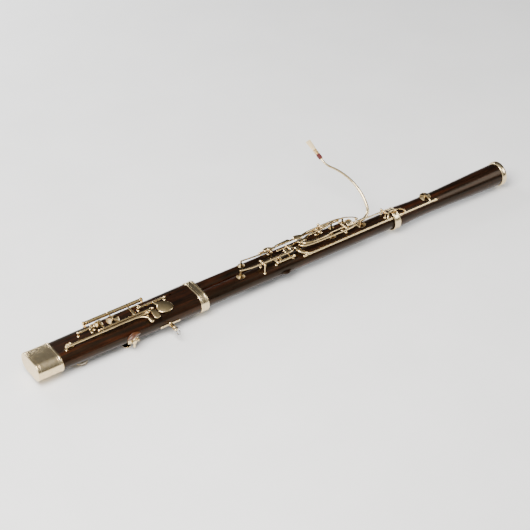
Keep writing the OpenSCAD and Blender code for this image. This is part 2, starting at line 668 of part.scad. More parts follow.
// The high C key: an S-shaped lever that ends in a broad round touch.
module high_c_key()
    rocker_key(high_c_y[0], high_c_y[1], high_c_axis) {
        z = high_c_axis[1];
        cup(high_c_at, z);
        sweep([[high_c_at[0], high_c_at[1], z, 1.6, 1.5], [850, 24.4, z, 1.9, 1.7], [806, 25, z, 2.1, 1.9],
            [768, 23.6, z, 2.3, 2], [755, 19.6, z + 0.8, 3, 2.2], [744, 14.8, z + 1, 4.2, 2.3],
            [734, 15, z + 0.4, 6, 2.3], [728, 18, z - 0.4, 7.4, 2.2]]);
    }
// The whisper key: its tube runs up the wing's edge to the small pad over the bocal's nib.
module whisper_key()
    swing_x(whisper_axis, -whisper_open) tube_key(whisper_x[0], whisper_x[1], whisper_axis) {
        y = whisper_axis[0];
        z = whisper_axis[1];
        sweep([[652, y, z, 1.9, 1.7], [652, y - 2, z + 7, 2, 1.7], [653, y - 8, z + 10.6, 6.5, 2],
            [654, y - 13, z + 10.2, 7.5, 2.1]]);
        sweep([[858, y, z, 1.7, 1.6], [861, y - 3, z + 3.4, 1.7, 1.5], [884, y - 6.6, z + 5.8, 1.7, 1.4],
            [903, y - 14, z + 3, 1.6, 1.3], [nib_x, wing_y, z - 0.2, 1.5, 1.2]]);
        difference() {
            translate([nib_x, wing_y, nib_top + nib_gap + 1.2]) cylinder(h = 3.6, r = 4.2);
            translate([nib_x, wing_y, nib_top]) cylinder(h = nib_gap + 2.7, r = 3.6);
        }
    }
module whisper_pad() color(leather)
    swing_x(whisper_axis, -whisper_open)
        translate([nib_x, wing_y, nib_top + nib_gap]) cylinder(h = 2.6, r = 3.55);

// ================= long joint =================
long_tenon_r = 15.4;
bell_tenon_r = 18.9;
bell_socket_r = 19.9;
bell_tenon_len = 34;
bell_bore_r = 16.8;                    // where the long joint's bore meets the bell's
block_x = [642, 682];                  // the wooden block on the joint's outer edge

module long_joint() color(wood)
    difference() {
        union() {
            x_bar(long_socket_x + 1, boot_top + cut, long_tenon_r, long_tenon_r, long_y);
            x_bar(boot_top, long_top, long_r(boot_top), long_r(long_top), long_y);
            x_bar(long_top - cut, long_top + bell_tenon_len, bell_tenon_r, bell_tenon_r, long_y);
            hull() {
                x_bar(block_x[0], block_x[1], 2.4, 2.4, long_y - 18.6, -4);
                x_bar(block_x[0] + 12, block_x[1] - 12, 3, 3, long_y - 25, -4);
            }
        }
        x_bar(long_socket_x, long_top + bell_tenon_len + cut, long_bore_r, bell_bore_r, long_y);
        seat(low_c_sharp_at, long_y, 0.6);
        seat(low_d_at, long_y, 0.6);
        seat(low_c_at, long_y, 0.6);
        seat(low_b_at, long_y, 0.6);
    }
module long_tenon_wraps() color(thread) {
    difference() {
        x_bar(long_socket_x + 3, boot_len - 2, long_socket_r - tenon_gap, long_socket_r - tenon_gap, long_y);
        x_bar(long_socket_x, boot_len, long_tenon_r, long_tenon_r, long_y);
    }
    difference() {
        x_bar(long_top + 3, long_top + bell_tenon_len - 3, bell_socket_r - tenon_gap,
            bell_socket_r - tenon_gap, long_y);
        x_bar(long_top, long_top + bell_tenon_len, bell_tenon_r, bell_tenon_r, long_y);
    }
}

low_b_flat_x = [718, 976];
low_d_x = [640, 688];
low_c_sharp_y = [-34, -17];
low_c_y = [-23, -9];
low_b_y = [-27, -11];
module long_posts() color(metal) {
    x_posts(low_b_flat_x[0], low_b_flat_x[1], bell_axis, long_y, long_r(850));
    x_posts(low_d_x[0], low_d_x[1], low_d_axis, long_y, long_r(660));
    y_posts(low_c_sharp_y[0], low_c_sharp_y[1], low_c_sharp_axis, long_y, long_r(603));
    y_posts(low_c_y[0], low_c_y[1], low_c_axis, long_y, long_r(850));
    y_posts(low_b_y[0], low_b_y[1], low_b_axis, long_y, long_r(950));
}

link_y = -27;                          // where the low B flat lever presses on the bell key's tail
// The low B flat lever: curved spatula, tube along the joint's edge, and the arm that closes the bell key.
module low_b_flat_lever()
    swing_x(bell_axis, bell_open) tube_key(low_b_flat_x[0], low_b_flat_x[1], bell_axis) {
        y = bell_axis[0];
        z = bell_axis[1];
        sweep([[736, y, z, 1.8, 1.8], [722, y + 1.5, z + 4.4, 2.4, 2.2], [710, y + 8, z + 8.4, 3.8, 2.4],
            [705, y + 17, z + 9, 4.6, 2.5], [705, y + 27, z + 7.6, 4, 2.1]]);
        sweep([[964, y, z, 1.8, 1.7], [968, y + 6, z + 7, 1.8, 1.6], [978, link_y, z + 10, 2, 1.4],
            [995, link_y, z + 10, 2, 1.3]]);
    }
// The low B key: it hinges at its bell end, so its touch and its pad go down together.
module low_b_key()
    swing_y(low_b_axis, low_b_open) rocker_key(low_b_y[0], low_b_y[1], low_b_axis) {
        z = low_b_axis[1];
        cup(low_b_at, z - 1);
        sweep([[966, -19, z, 2, 1.8], [898, -19, z - 0.6, 1.9, 1.7], [874, -27, z - 0.9, 1.9, 1.7],
            [850, -31, z - 1.2, 2, 1.8], [760, -30, z - 3.4, 2.2, 2], [738, -28, z - 4, 2.4, 2.1],
            [727, -25, z - 4.6, 3, 2.3], [720, -20, z - 5.2, 3.6, 2.3], [718, -15.5, z - 5.8, 3.4, 2]]);
    }
// The low C key: as the low B key, and shorter.
module low_c_key()
    swing_y(low_c_axis, low_c_open) rocker_key(low_c_y[0], low_c_y[1], low_c_axis) {
        z = low_c_axis[1];
        cup(low_c_at, z - 1);
        sweep([[850, -16, z, 2, 1.8], [812, -17, z - 0.8, 1.9, 1.7], [790, -22, z - 1.4, 2, 1.8],
            [758, -22.8, z - 2.4, 2.2, 2], [746, -21.6, z - 2.8, 2.5, 2.2], [737, -18, z - 3.6, 3.2, 2.3],
            [731, -13.6, z - 4.4, 3.6, 2.3], [730, -10, z - 5, 3.2, 2]]);
    }
// The low C sharp key: a hooked spatula, a long lever over its cross rod, and a cup at the far end.
module low_c_sharp_key()
    rocker_key(low_c_sharp_y[0], low_c_sharp_y[1], low_c_sharp_axis) {
        z = low_c_sharp_axis[1];
        cup(low_c_sharp_at, z);
        sweep([[545, -19, z, 1.7, 1.6], [570, -24.5, z, 2, 1.8], [603, -25.5, z, 2.2, 2],
            [672, -25.7, z, 2.2, 2], [685, -25, z, 2.7, 2.3], [692, -20.6, z - 1, 3.6, 2.6],
            [693, -14.6, z - 2.6, 4.4, 2.6], [693, -10.6, z - 3.6, 4, 2.3]]);
    }
// The low D key: a short hinge tube, an oval touch and a cup, all on one side, so the pad stands open.
module low_d_key()
    swing_x(low_d_axis, low_d_open) tube_key(low_d_x[0], low_d_x[1], low_d_axis) {
        y = low_d_axis[0];
        z = low_d_axis[1];
        cup(low_d_at, z - 2);
        bar([651, y, z], [651, low_d_at[1], z - 3], 1.5, 1.3);
        sweep([[678, y, z, 1.7, 1.5], [678, y + 8, z - 0.6, 1.5, 1.3], [678, y + 14, z - 0.4, 2.2, 1.4],
            [678, y + 18, z, 5, 2], [678, y + 22, z, 5.2, 2.2], [678, y + 26, z - 0.4, 3.6, 1.8]]);
    }

// ================= bell =================
bell_waist_x = 90;                     // from the bell's lower end
bell_waist_r = 23;
bell_mouth_r = 28.6;
bell_band_len = 18;
bell_ring_len = 15;
bell_steps = 8;
bell_foot_r = 26.4;
bell_foot_wood_r = bell_foot_r - 0.8;  // radius of the wood under the band
bell_lip_r = bell_mouth_r - 1.6;       // radius of the wood under the mouth ring
bell_lip_in = 2;                       // the wood ends this far inside the ring
bell_mouth_bore_r = 19.6;
// The bell's radius, s along it from its lower end: in to the waist and out to the mouth, on cosine curves.
function bell_r(s) = let (flare = 180 * (s - bell_waist_x) / (bell_len - bell_waist_x)) s < bell_waist_x
    ? bell_waist_r + (bell_foot_r - bell_waist_r) * (1 + cos(180 * s / bell_waist_x)) / 2
    : bell_waist_r + (bell_mouth_r - bell_waist_r) * (1 - cos(flare)) / 2;
bell_stations = concat(
    [for (i = [0 : bell_steps - 1]) bell_band_len + (bell_waist_x - bell_band_len) * i / bell_steps],
    [for (i = [0 : bell_steps * 2]) bell_waist_x
        + (bell_len - bell_ring_len - bell_waist_x) * i / bell_steps / 2]);

module bell_joint() color(wood)
    difference() {
        translate([long_top, long_y, 0]) rotate([0, 90, 0]) rotate_extrude()
            polygon(concat([[0, 0.1], [bell_foot_wood_r, 0.1], [bell_foot_wood_r, bell_band_len]],
                [for (s = bell_stations) [bell_r(s), s]],
                [[bell_lip_r, bell_len - bell_ring_len], [bell_lip_r, bell_len - bell_lip_in],
                    [0, bell_len - bell_lip_in]]));
        x_bar(long_top - cut, long_top + bell_tenon_len + 0.4, bell_socket_r, bell_socket_r, long_y);
        x_bar(long_top + bell_tenon_len, bell_top + cut, bell_bore_r, bell_mouth_bore_r, long_y);
        seat(bell_at, long_y, 0.6);
    }
module bell_band() color(metal) {
    face_r = bell_foot_r + 0.6;
    bead_r = bell_foot_r + 1.2;
    inner_r = bell_foot_wood_r + press;
    translate([long_top, long_y, 0]) rotate([0, 90, 0]) rotate_extrude()
        polygon([[inner_r, 0.1], [face_r, 0.1], [bead_r, 1.6], [face_r, 3], [face_r, bell_band_len - 3],
            [bead_r, bell_band_len - 1.6], [face_r, bell_band_len - 0.1], [inner_r, bell_band_len - 0.1]]);
}
ring_hole_r = 20.4;
bell_bead = [for (a = [-90 : 22.5 : 90])
    [bell_mouth_r + 1 + 2.6 * cos(a), bell_len - bell_ring_len / 2 - 0.2 + 7 * sin(a)]];
module bell_ring() color(metal)
    translate([long_top, long_y, 0]) rotate([0, 90, 0]) rotate_extrude()
        polygon(concat([[bell_lip_r + press, bell_len - bell_ring_len + 0.1]], bell_bead,
            [[bell_mouth_r - 1, bell_len], [ring_hole_r, bell_len], [ring_hole_r, bell_len - 1.9],
                [bell_lip_r + press, bell_len - 1.9]]));

bell_key_x = [1008, 1116];
module bell_posts() color(metal)
    x_posts(bell_key_x[0], bell_key_x[1], bell_axis, long_y, bell_r(30));
// The bell key: its tail lies under the low B flat lever's arm.
module bell_key()
    swing_x(bell_axis, bell_open) tube_key(bell_key_x[0], bell_key_x[1], bell_axis) {
        y = bell_axis[0];
        z = bell_axis[1];
        cup(bell_at, z + 5);
        sweep([[1098, y, z, 2.1, 1.8], [1098, y + 8, z + 4.6, 1.8, 1.5],
            [1098, bell_at[1], z + 4.6, 1.8, 1.3]]);
        sweep([[1020, y, z, 1.8, 1.7], [1016, y + 6, z + 6, 1.8, 1.5], [1006, link_y, z + 7.4, 2.2, 1.1],
            [990, link_y, z + 7.4, 2.4, 1]]);
    }

// ================= bocal and reed =================
// The bocal's line, in its own plane: straight, over the first bend, along the arch, and back to the reed.
bends = [[0, 62], [75, 34], [60, 132], [-36, 46], [0, 12]]; // [turn, radius], or [0, length]
bocal_start = wing_top - socket_len + 1;
function bend_end(p, b) = b[0] == 0
    ? [p[0] + b[1] * cos(p[2]), p[1] + b[1] * sin(p[2]), p[2]]
    : let (s = sign(b[0]), a = p[2] + b[0])
        [p[0] + s * b[1] * (sin(a) - sin(p[2])), p[1] - s * b[1] * (cos(a) - cos(p[2])), a];
function part_bend(b, t) = b[0] == 0 ? [0, b[1] * t] : [b[0] * t, b[1]];
function bend_starts(i, p) = i >= len(bends) ? [p] : concat([p], bend_starts(i + 1, bend_end(p, bends[i])));
bocal_corners = bend_starts(0, [bocal_start, 0, 0]);
bend_steps = [4, 9, 14, 6, 2];
bocal_line = concat([bocal_corners[0]], [for (i = [0 : len(bends) - 1], k = [1 : bend_steps[i]])
    bend_end(bocal_corners[i], part_bend(bends[i], k / bend_steps[i]))]);
bocal_n = len(bocal_line) - 1;
bocal_tip = bocal_line[bocal_n];
function bocal_r(i) = bocal_r_low + (bocal_r_tip - bocal_r_low) * i / bocal_n;
bocal_wall = 0.7;
bocal_fn = 20;

function bocal_ring(i, r) = let (p = bocal_line[i])
    [for (k = [0 : bocal_fn - 1]) let (a = 360 * k / bocal_fn)
        [p[0] - r * cos(a) * sin(p[2]), p[1] + r * cos(a) * cos(p[2]), r * sin(a)]];
// Puts the bocal's plane in the instrument.
module bocal_plane() translate([0, wing_y, 0]) rotate([bocal_turn, 0, 0]) children();

module bocal_shell() {
    rings_out = [for (i = [0 : bocal_n]) each bocal_ring(i, bocal_r(i))];
    rings_in = [for (i = [0 : bocal_n]) each bocal_ring(i, bocal_r(i) - bocal_wall)];
    inner = (bocal_n + 1) * bocal_fn;
    polyhedron(points = concat(rings_out, rings_in), faces = [
        for (i = [0 : bocal_n - 1], k = [0 : bocal_fn - 1]) let (m = (k + 1) % bocal_fn, a = i * bocal_fn)
            [a + k, a + bocal_fn + k, a + bocal_fn + m, a + m],
        for (i = [0 : bocal_n - 1], k = [0 : bocal_fn - 1])
            let (m = (k + 1) % bocal_fn, a = inner + i * bocal_fn)
            [a + m, a + bocal_fn + m, a + bocal_fn + k, a + k],
        for (e = [0, bocal_n], k = [0 : bocal_fn - 1]) let (m = (k + 1) % bocal_fn, a = e * bocal_fn)
            e == 0
                ? [a + k, a + m, inner + a + m, inner + a + k]
                : [a + m, a + k, inner + a + k, inner + a + m]]);
}
nib_foot = bocal_r_low - 0.9;          // the nib starts inside the tube's wall
collar_w = 1.6;
collar_r = bocal_r_low + 0.7;
// The bent tube, the nib under the whisper pad, and two collars.
module bocal() color(metal) {
    bocal_plane() bocal_shell();
    difference() {
        translate([nib_x, wing_y, nib_foot]) cylinder(h = nib_top - nib_foot, r1 = 2.6, r2 = 1.6);
        translate([nib_x, wing_y, nib_foot - 1.1]) cylinder(h = 6, r = 0.5);
    }
    bocal_plane() for (x = [wing_top + 5, wing_top + 9]) difference() {
        x_bar(x, x + collar_w, collar_r, collar_r);
        x_bar(x - cut, x + collar_w + cut, bocal_r_low - 0.5, bocal_r_low - 0.5);
    }
}
cork_len = 26;
cork_hole_r = bocal_r_low + 0.03;
module bocal_cork() color(cork)
    difference() {
        x_bar(bocal_start + 0.5, bocal_start + cork_len, socket_r - 0.1, socket_r - press, wing_y);
        x_bar(bocal_start - cut, bocal_start + cork_len + cut, cork_hole_r, cork_hole_r, wing_y);
    }

// The reed's frame: +Z runs out along the reed from the bocal's tip, and the blades spread along X.
reed_on = 8;                           // how far the reed goes over the bocal's tip
module reed_frame() bocal_plane()
    translate([bocal_tip[0], bocal_tip[1], 0]) rotate([0, 0, bocal_tip[2]]) rotate([0, 90, 0])
        rotate([0, 0, 90]) translate([0, 0, -reed_on]) children();
blade_half_w = 7.6;
reed_tube_r = 3.9;
throat = 22;                           // where the round tube ends and the blades begin
module reed_blades() color(cane) reed_frame()
    difference() {
        hull() {
            cylinder(h = 1, r = reed_tube_r, $fn = 32);
            translate([0, 0, throat]) scale([1.25, 0.8, 1]) cylinder(h = 1, r = reed_tube_r, $fn = 32);
            translate([0, 0, reed_len]) scale([1, 0.11, 1]) cylinder(h = 0.6, r = blade_half_w, $fn = 32);
        }
        translate([0, 0, -cut]) cylinder(h = reed_on + 4, r = bocal_r_tip + 0.12);
        hull() {
            translate([0, 0, reed_on + 2]) cylinder(h = 1, r = bocal_r_tip + 0.2, $fn = 24);
            translate([0, 0, throat]) scale([1.2, 0.6, 1]) cylinder(h = 1, r = bocal_r_tip + 0.4, $fn = 24);
            translate([0, 0, reed_len + cut]) scale([1, 0.045, 1])
                cylinder(h = 0.6, r = blade_half_w - 0.6, $fn = 24);
        }
    }
binding_r = 5.6;
wires_at = [17.5, 21, 27];
wire_r = 0.45;
// The thread turban and the three wires, which hold the blades on the bocal.
module reed_binding() reed_frame() {
    color(thread) difference() {
        union() {
            translate([0, 0, 1]) cylinder(h = 8, r1 = binding_r - 0.6, r2 = binding_r);
            translate([0, 0, 9]) cylinder(h = 6, r1 = binding_r, r2 = binding_r - 0.6);
        }
        translate([0, 0, -cut]) cylinder(h = throat, r = reed_tube_r + 0.35);
    }
    color(metal) for (z = wires_at) translate([0, 0, z])
        rotate_extrude() translate([reed_tube_r + 1.25, 0]) circle(r = wire_r);
}

boot_joint();
boot_cap();
u_tube();
u_tube_gasket();
boot_band();
boot_posts();
strap_hanger();
strap_ring();
hand_rest_holder();
hand_rest();
hand_rest_screw();
wing_joint();
wing_socket_band();
wing_posts();
wing_tenon_wrap();
long_joint();
long_tenon_wraps();
long_posts();
bell_joint();
bell_band();
bell_ring();
bell_posts();
bocal_cork();
bocal();
reed_blades();
reed_binding();
b_flat_side_key();
b_flat_key();
pad(b_flat_at);  // b_flat_pad
f_sharp_plate_key();
f_sharp_key();
pad(f_sharp_at);  // f_sharp_pad
g_sharp_key();
pad(g_sharp_at);  // g_sharp_pad
low_f_key();
swing_x(low_f_axis, low_f_open) front() pad(low_f_at);  // low_f_pad
a_flat_key();
front() pad(a_flat_at);  // a_flat_pad
low_b_flat_lever();
bell_key();
swing_x(bell_axis, bell_open) pad(bell_at);  // bell_pad
low_b_key();
swing_y(low_b_axis, low_b_open) pad(low_b_at);  // low_b_pad
low_c_key();
swing_y(low_c_axis, low_c_open) pad(low_c_at);  // low_c_pad
low_c_sharp_key();
pad(low_c_sharp_at);  // low_c_sharp_pad
low_d_key();
swing_x(low_d_axis, low_d_open) pad(low_d_at);  // low_d_pad
high_a_key();
pad(high_a_at);  // high_a_pad
high_c_key();
pad(high_c_at);  // high_c_pad
high_d_key();
pad(high_d_at);  // high_d_pad
c_sharp_key();
pad(c_sharp_at);  // c_sharp_pad
whisper_key();
whisper_pad();
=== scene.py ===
"""Looks of the bassoon: varnished rosewood, pale gold keywork, leather pads, cork, thread and cane.

Shapes are worked out in millimetres in the part's own frame and turned into metres when a mesh is made.
Hinge lines and pads are read from the frame.
"""
import json
import math

import bmesh
import bpy
import numpy as np
from mathutils import Matrix, Vector


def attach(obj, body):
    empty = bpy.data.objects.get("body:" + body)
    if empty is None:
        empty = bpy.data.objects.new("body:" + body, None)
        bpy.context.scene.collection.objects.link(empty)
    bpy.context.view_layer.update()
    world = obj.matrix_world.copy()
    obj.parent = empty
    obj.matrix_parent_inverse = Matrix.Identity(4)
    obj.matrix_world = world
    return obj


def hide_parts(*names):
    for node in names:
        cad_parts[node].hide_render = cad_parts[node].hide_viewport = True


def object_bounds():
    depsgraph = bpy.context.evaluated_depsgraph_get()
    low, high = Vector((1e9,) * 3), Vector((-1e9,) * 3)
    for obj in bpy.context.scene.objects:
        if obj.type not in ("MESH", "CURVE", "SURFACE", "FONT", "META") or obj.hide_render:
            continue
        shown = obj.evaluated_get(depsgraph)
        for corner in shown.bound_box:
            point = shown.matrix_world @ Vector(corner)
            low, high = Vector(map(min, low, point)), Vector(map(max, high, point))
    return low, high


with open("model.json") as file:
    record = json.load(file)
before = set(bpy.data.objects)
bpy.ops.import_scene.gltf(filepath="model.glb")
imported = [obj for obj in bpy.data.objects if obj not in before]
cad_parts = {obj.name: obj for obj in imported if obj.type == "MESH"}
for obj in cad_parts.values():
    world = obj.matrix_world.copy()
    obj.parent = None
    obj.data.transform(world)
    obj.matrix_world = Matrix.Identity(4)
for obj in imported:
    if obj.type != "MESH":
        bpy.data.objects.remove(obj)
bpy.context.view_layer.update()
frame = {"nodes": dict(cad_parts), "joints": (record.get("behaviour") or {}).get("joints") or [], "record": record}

MM = 0.001
AXIS_X, AXIS_Y, UP = np.eye(3)


# ---- the frame's own numbers
def hinge_of(body):
    """The joint that carries a body."""
    return next(j for j in frame["joints"] if j["child"] == body)


def place_of(hinge):
    """A point of a joint's axis, in millimetres."""
    return np.array(hinge["pos_m"]) / MM


def turn_matrix(body, degrees):
    """The turn about a body's hinge, in millimetres."""
    hinge = hinge_of(body)
    place = Vector(place_of(hinge))
    turn = Matrix.Rotation(math.radians(degrees), 4, Vector(hinge["axis"]))
    return Matrix.Translation(place) @ turn @ Matrix.Translation(-place)


OPEN_KEYS = ("low_f", "low_b_flat", "bell", "low_b", "low_c", "low_d", "whisper")


def key_body(name):
    return "low_b_flat_lever" if name == "low_b_flat" else name + "_key"


def open_angle(name):
    """How far a key that stands open has been turned from its closed place."""
    if name not in OPEN_KEYS:
        return 0.0
    low, high = hinge_of(key_body(name))["range_deg"]
    return -low if abs(low) > abs(high) else -high


def closed_pad(name):
    """[x, y, radius, low z, high z] of a key's pad with the key closed."""
    node = frame["nodes"][name + "_pad"]
    back = turn_matrix(key_body(name), -open_angle(name))
    points = np.array([back @ (v.co / MM) for v in node.data.vertices])
    low, high = points.min(axis=0), points.max(axis=0)
    centre = (low + high) / 2
    return centre[0], centre[1], (high[0] - low[0]) / 2, low[2], high[2]


# ---- the instrument's main sizes
BOOT_LEN = 440.0
SHOULDER = 441.2                      # where the upper joints' shoulders sit
WOOD_X = 43.0                         # the boot's wood starts here, inside the cap
WING_Y = 19.0
LONG_Y = -WING_Y
WING_TOP = BOOT_LEN + 455.0
LONG_TOP = BOOT_LEN + 545.0
BELL_TOP = LONG_TOP + 360.0
TUBE_R = 2.6                          # a hinge tube
BORE_R = 1.35                         # its bore
ROD_R = 1.25                          # the rod in it
BALL_R = 3.4                          # a post's head
END_GAP = BALL_R + 0.3                # from a post to the end of its tube
FLAT_SINK = 0.15                      # how far the flats of the boot lie below its round sides
AXLE_R = 0.01                         # stands for radius 0 where a profile ends on its axis


def boot_r(x):
    return 20.5 + 4.5 * x / BOOT_LEN


def wing_r(x):
    return 16.5 - 1.5 * (x - BOOT_LEN) / (WING_TOP - BOOT_LEN)


def long_r(x):
    return 20.0 + 2.0 * (x - BOOT_LEN) / (LONG_TOP - BOOT_LEN)


# ---- mesh building
def ring_faces(rings, sides, loop=False):
    """Faces that join rings of points laid one after another; the ends close, or meet in a loop."""
    faces = []
    for i in range(rings if loop else rings - 1):
        a, b = i * sides, (i + 1) % rings * sides
        for k in range(sides):
            m = (k + 1) % sides
            faces.append((a + k, a + m, b + m, b + k))
    if not loop:
        faces.append(tuple(reversed(range(sides))))
        faces.append(tuple((rings - 1) * sides + k for k in range(sides)))
    return faces


def turn_angles(sides):
    return np.linspace(0, 2 * math.pi, sides, endpoint=False)


def unit(v):
    v = np.asarray(v, dtype=float)
    return v / np.linalg.norm(v)


def frame_of(direction):
    """Two directions square to the one given."""
    d = unit(direction)
    side = unit(np.cross(UP, d)) if abs(d[2]) < 0.99 else AXIS_X
    return side, np.cross(d, side)


def capped(profile):
    """A profile that also closes at the axis, at the heights of its ends."""
    return [(AXLE_R, profile[0][1])] + profile + [(AXLE_R, profile[-1][1])]


def arc_points(centre_r, centre_x, radius, start, end, steps=8):
    """Points of a profile on a circle; 0 degrees points outward and 90 along the axis."""
    angles = np.radians(np.linspace(start, end, steps + 1))
    return [(centre_r + radius * math.cos(t), centre_x + radius * math.sin(t)) for t in angles]


def bead(r, x, half, rise, steps=10):
    """A raised half-round ring on a profile."""
    angles = np.linspace(-math.pi / 2, math.pi / 2, steps + 1)
    return [(r + rise * math.cos(t), x + half * math.sin(t)) for t in angles]


def groove(r, x, half=0.25, depth=0.25):
    return [(r, x - half), (r - depth, x), (r, x + half)]


def lathe(profile, start, direction, sides=48):
    """Turns (radius, height) points about a line; a radius may also be given for each side."""
    d = unit(direction)
    side, other = frame_of(d)
    angles = turn_angles(sides)
    circle = np.outer(np.cos(angles), side) + np.outer(np.sin(angles), other)
    verts = [np.asarray(start, float) + d * h + circle * np.reshape(r, (-1, 1)) for r, h in profile]
    return np.concatenate(verts), ring_faces(len(profile), sides)


def loop_lathe(profile, start, direction, sides=48):
    """As lathe, for a profile that closes on itself, such as a ring's section."""
    verts, _ = lathe(profile, start, direction, sides)
    return verts, ring_faces(len(profile), sides, True)


def spline(points, steps):
    """Catmull-Rom curve through points, steps to a span."""
    p = np.asarray(points, dtype=float)
    p = np.vstack([p[0], p, p[-1]])
    out = []
    for i in range(1, len(p) - 2):
        a, b, c, d = p[i - 1:i + 3]
        for k in range(steps):
            t = k / steps
            out.append(0.5 * (2 * b + (c - a) * t + (2 * a - 5 * b + 4 * c - d) * t ** 2
                              + (3 * b - a - 3 * c + d) * t ** 3))
    out.append(p[-2])
    return np.array(out)


def sweep(outline, steps=8, sides=28, square=2.5):
    """A lever through [x, y, z, half width, half thickness] points, with rounded ends.

    square is the power of its superellipse section: 2 is round, more is flatter."""
    p = spline(outline, steps)
    tangents = np.gradient(p[:, :3], axis=0)
    tangents /= np.linalg.norm(tangents, axis=1)[:, None]
    cos, sin = np.cos(turn_angles(sides)), np.sin(turn_angles(sides))
    across = np.sign(cos) * np.abs(cos) ** (2 / square)
    height = np.sign(sin) * np.abs(sin) ** (2 / square)

    def ring(centre, t, w, h):
        s = unit(np.cross(UP, t))
        u = np.cross(t, s)
        return centre + np.outer(across * w, s) + np.outer(height * h, u)

    def dome(i, sign):
        centre, half_width, half_height = p[i][:3], p[i][3], p[i][4]
        reach = min(half_width, max(half_height, half_width * 0.8))
        return [ring(centre + sign * tangents[i] * reach * math.sin(a), tangents[i],
                     half_width * math.cos(a), half_height * math.cos(a) ** 0.7)
                for a in np.radians((10, 25, 40, 55, 68, 79, 87))]

    body = [ring(q[:3], t, q[3], q[4]) for q, t in zip(p, tangents)]
    rings = dome(0, -1)[::-1] + body + dome(-1, 1)
    return np.concatenate(rings), ring_faces(len(rings), sides)


def bar(a, b, r1, r2, sides=24):
    """A round bar with rounded ends and a radius for each."""
    a, b = np.asarray(a, float), np.asarray(b, float)
    length = np.linalg.norm(b - a)
    arc = np.radians((0, 30, 60, 85))
    low = [(r1 * math.cos(v), -r1 * math.sin(v)) for v in arc[::-1]]
    high = [(r2 * math.cos(v), length + r2 * math.sin(v)) for v in arc]
    return lathe(low + high, a, b - a, sides)


def rod(a, b, r, sides=24, chamfer=0.2):
    """A round bar with flat, slightly chamfered ends."""
    a, b = np.asarray(a, float), np.asarray(b, float)
    length = np.linalg.norm(b - a)
    profile = [(r - chamfer, 0), (r, chamfer), (r, length - chamfer), (r - chamfer, length)]
    return lathe(capped(profile), a, b - a, sides)


def block(low, high, chamfer=0.5):
    """A box with chamfered edges."""
    bm = bmesh.new()
    bmesh.ops.create_cube(bm, size=1.0)
    low, high = np.asarray(low, float), np.asarray(high, float)
    for v in bm.verts:
        v.co = Vector((low + high) / 2 + np.array(v.co) * (high - low))
    bmesh.ops.bevel(bm, geom=bm.edges[:], offset=chamfer, segments=3, profile=0.5, affect="EDGES")
    verts = np.array([v.co for v in bm.verts])
    faces = [tuple(v.index for v in f.verts) for f in bm.faces]
    bm.free()
    return verts, faces


def new_object(name, data):
    obj = bpy.data.objects.new(name, data)
    bpy.context.scene.collection.objects.link(obj)
    return obj


def moved(points, matrix):
    matrix = np.array(matrix)
    return points @ matrix[:3, :3].T + matrix[:3, 3]


def mesh_of(name, shells, matrix=None):
    """One mesh from several shells of (points in millimetres, faces)."""
    faces, count = [], 0
    for points, shell_faces in shells:
        faces += [tuple(i + count for i in face) for face in shell_faces]
        count += len(points)
    points = np.concatenate([shell[0] for shell in shells])
    if matrix is not None:
        points = moved(points, matrix)
    mesh = bpy.data.meshes.new(name)
    mesh.from_pydata((points * MM).tolist(), [], faces)
    mesh.validate()
    mesh.update()
    return mesh


def tidy_shading(obj, angle=38):
    """Smooth shading with true edges kept."""
    mesh = obj.data
    bm = bmesh.new()
    bm.from_mesh(mesh)
    bmesh.ops.recalc_face_normals(bm, faces=bm.faces)
    bm.to_mesh(mesh)
    bm.free()
    mesh.shade_smooth()
    mesh.set_sharp_from_angle(angle=math.radians(angle))


def add(name, shells, body, material, matrix=None, replaces=(), angle=38):
    """Makes a piece, hangs it on its body and gives it its material."""
    obj = new_object(name, mesh_of(name, shells, matrix))
    tidy_shading(obj, angle)
    obj.data.materials.append(MATERIALS[material])
    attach(obj, body)
    if replaces:
        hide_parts(*replaces)
    return obj


def cut(obj, shells, angle=38):
    """Takes each shell out of a piece, then tidies its shading again."""
    bpy.context.view_layer.objects.active = obj
    for shell in shells:
        tool = new_object("cutter", mesh_of("cutter", [shell]))
        tidy_shading(tool)
        mod = obj.modifiers.new("cut", "BOOLEAN")
        mod.operation = "DIFFERENCE"
        mod.solver = "MANIFOLD"
        mod.object = tool
        bpy.ops.object.modifier_apply(modifier=mod.name)
        bpy.data.objects.remove(tool)
    tidy_shading(obj, angle)


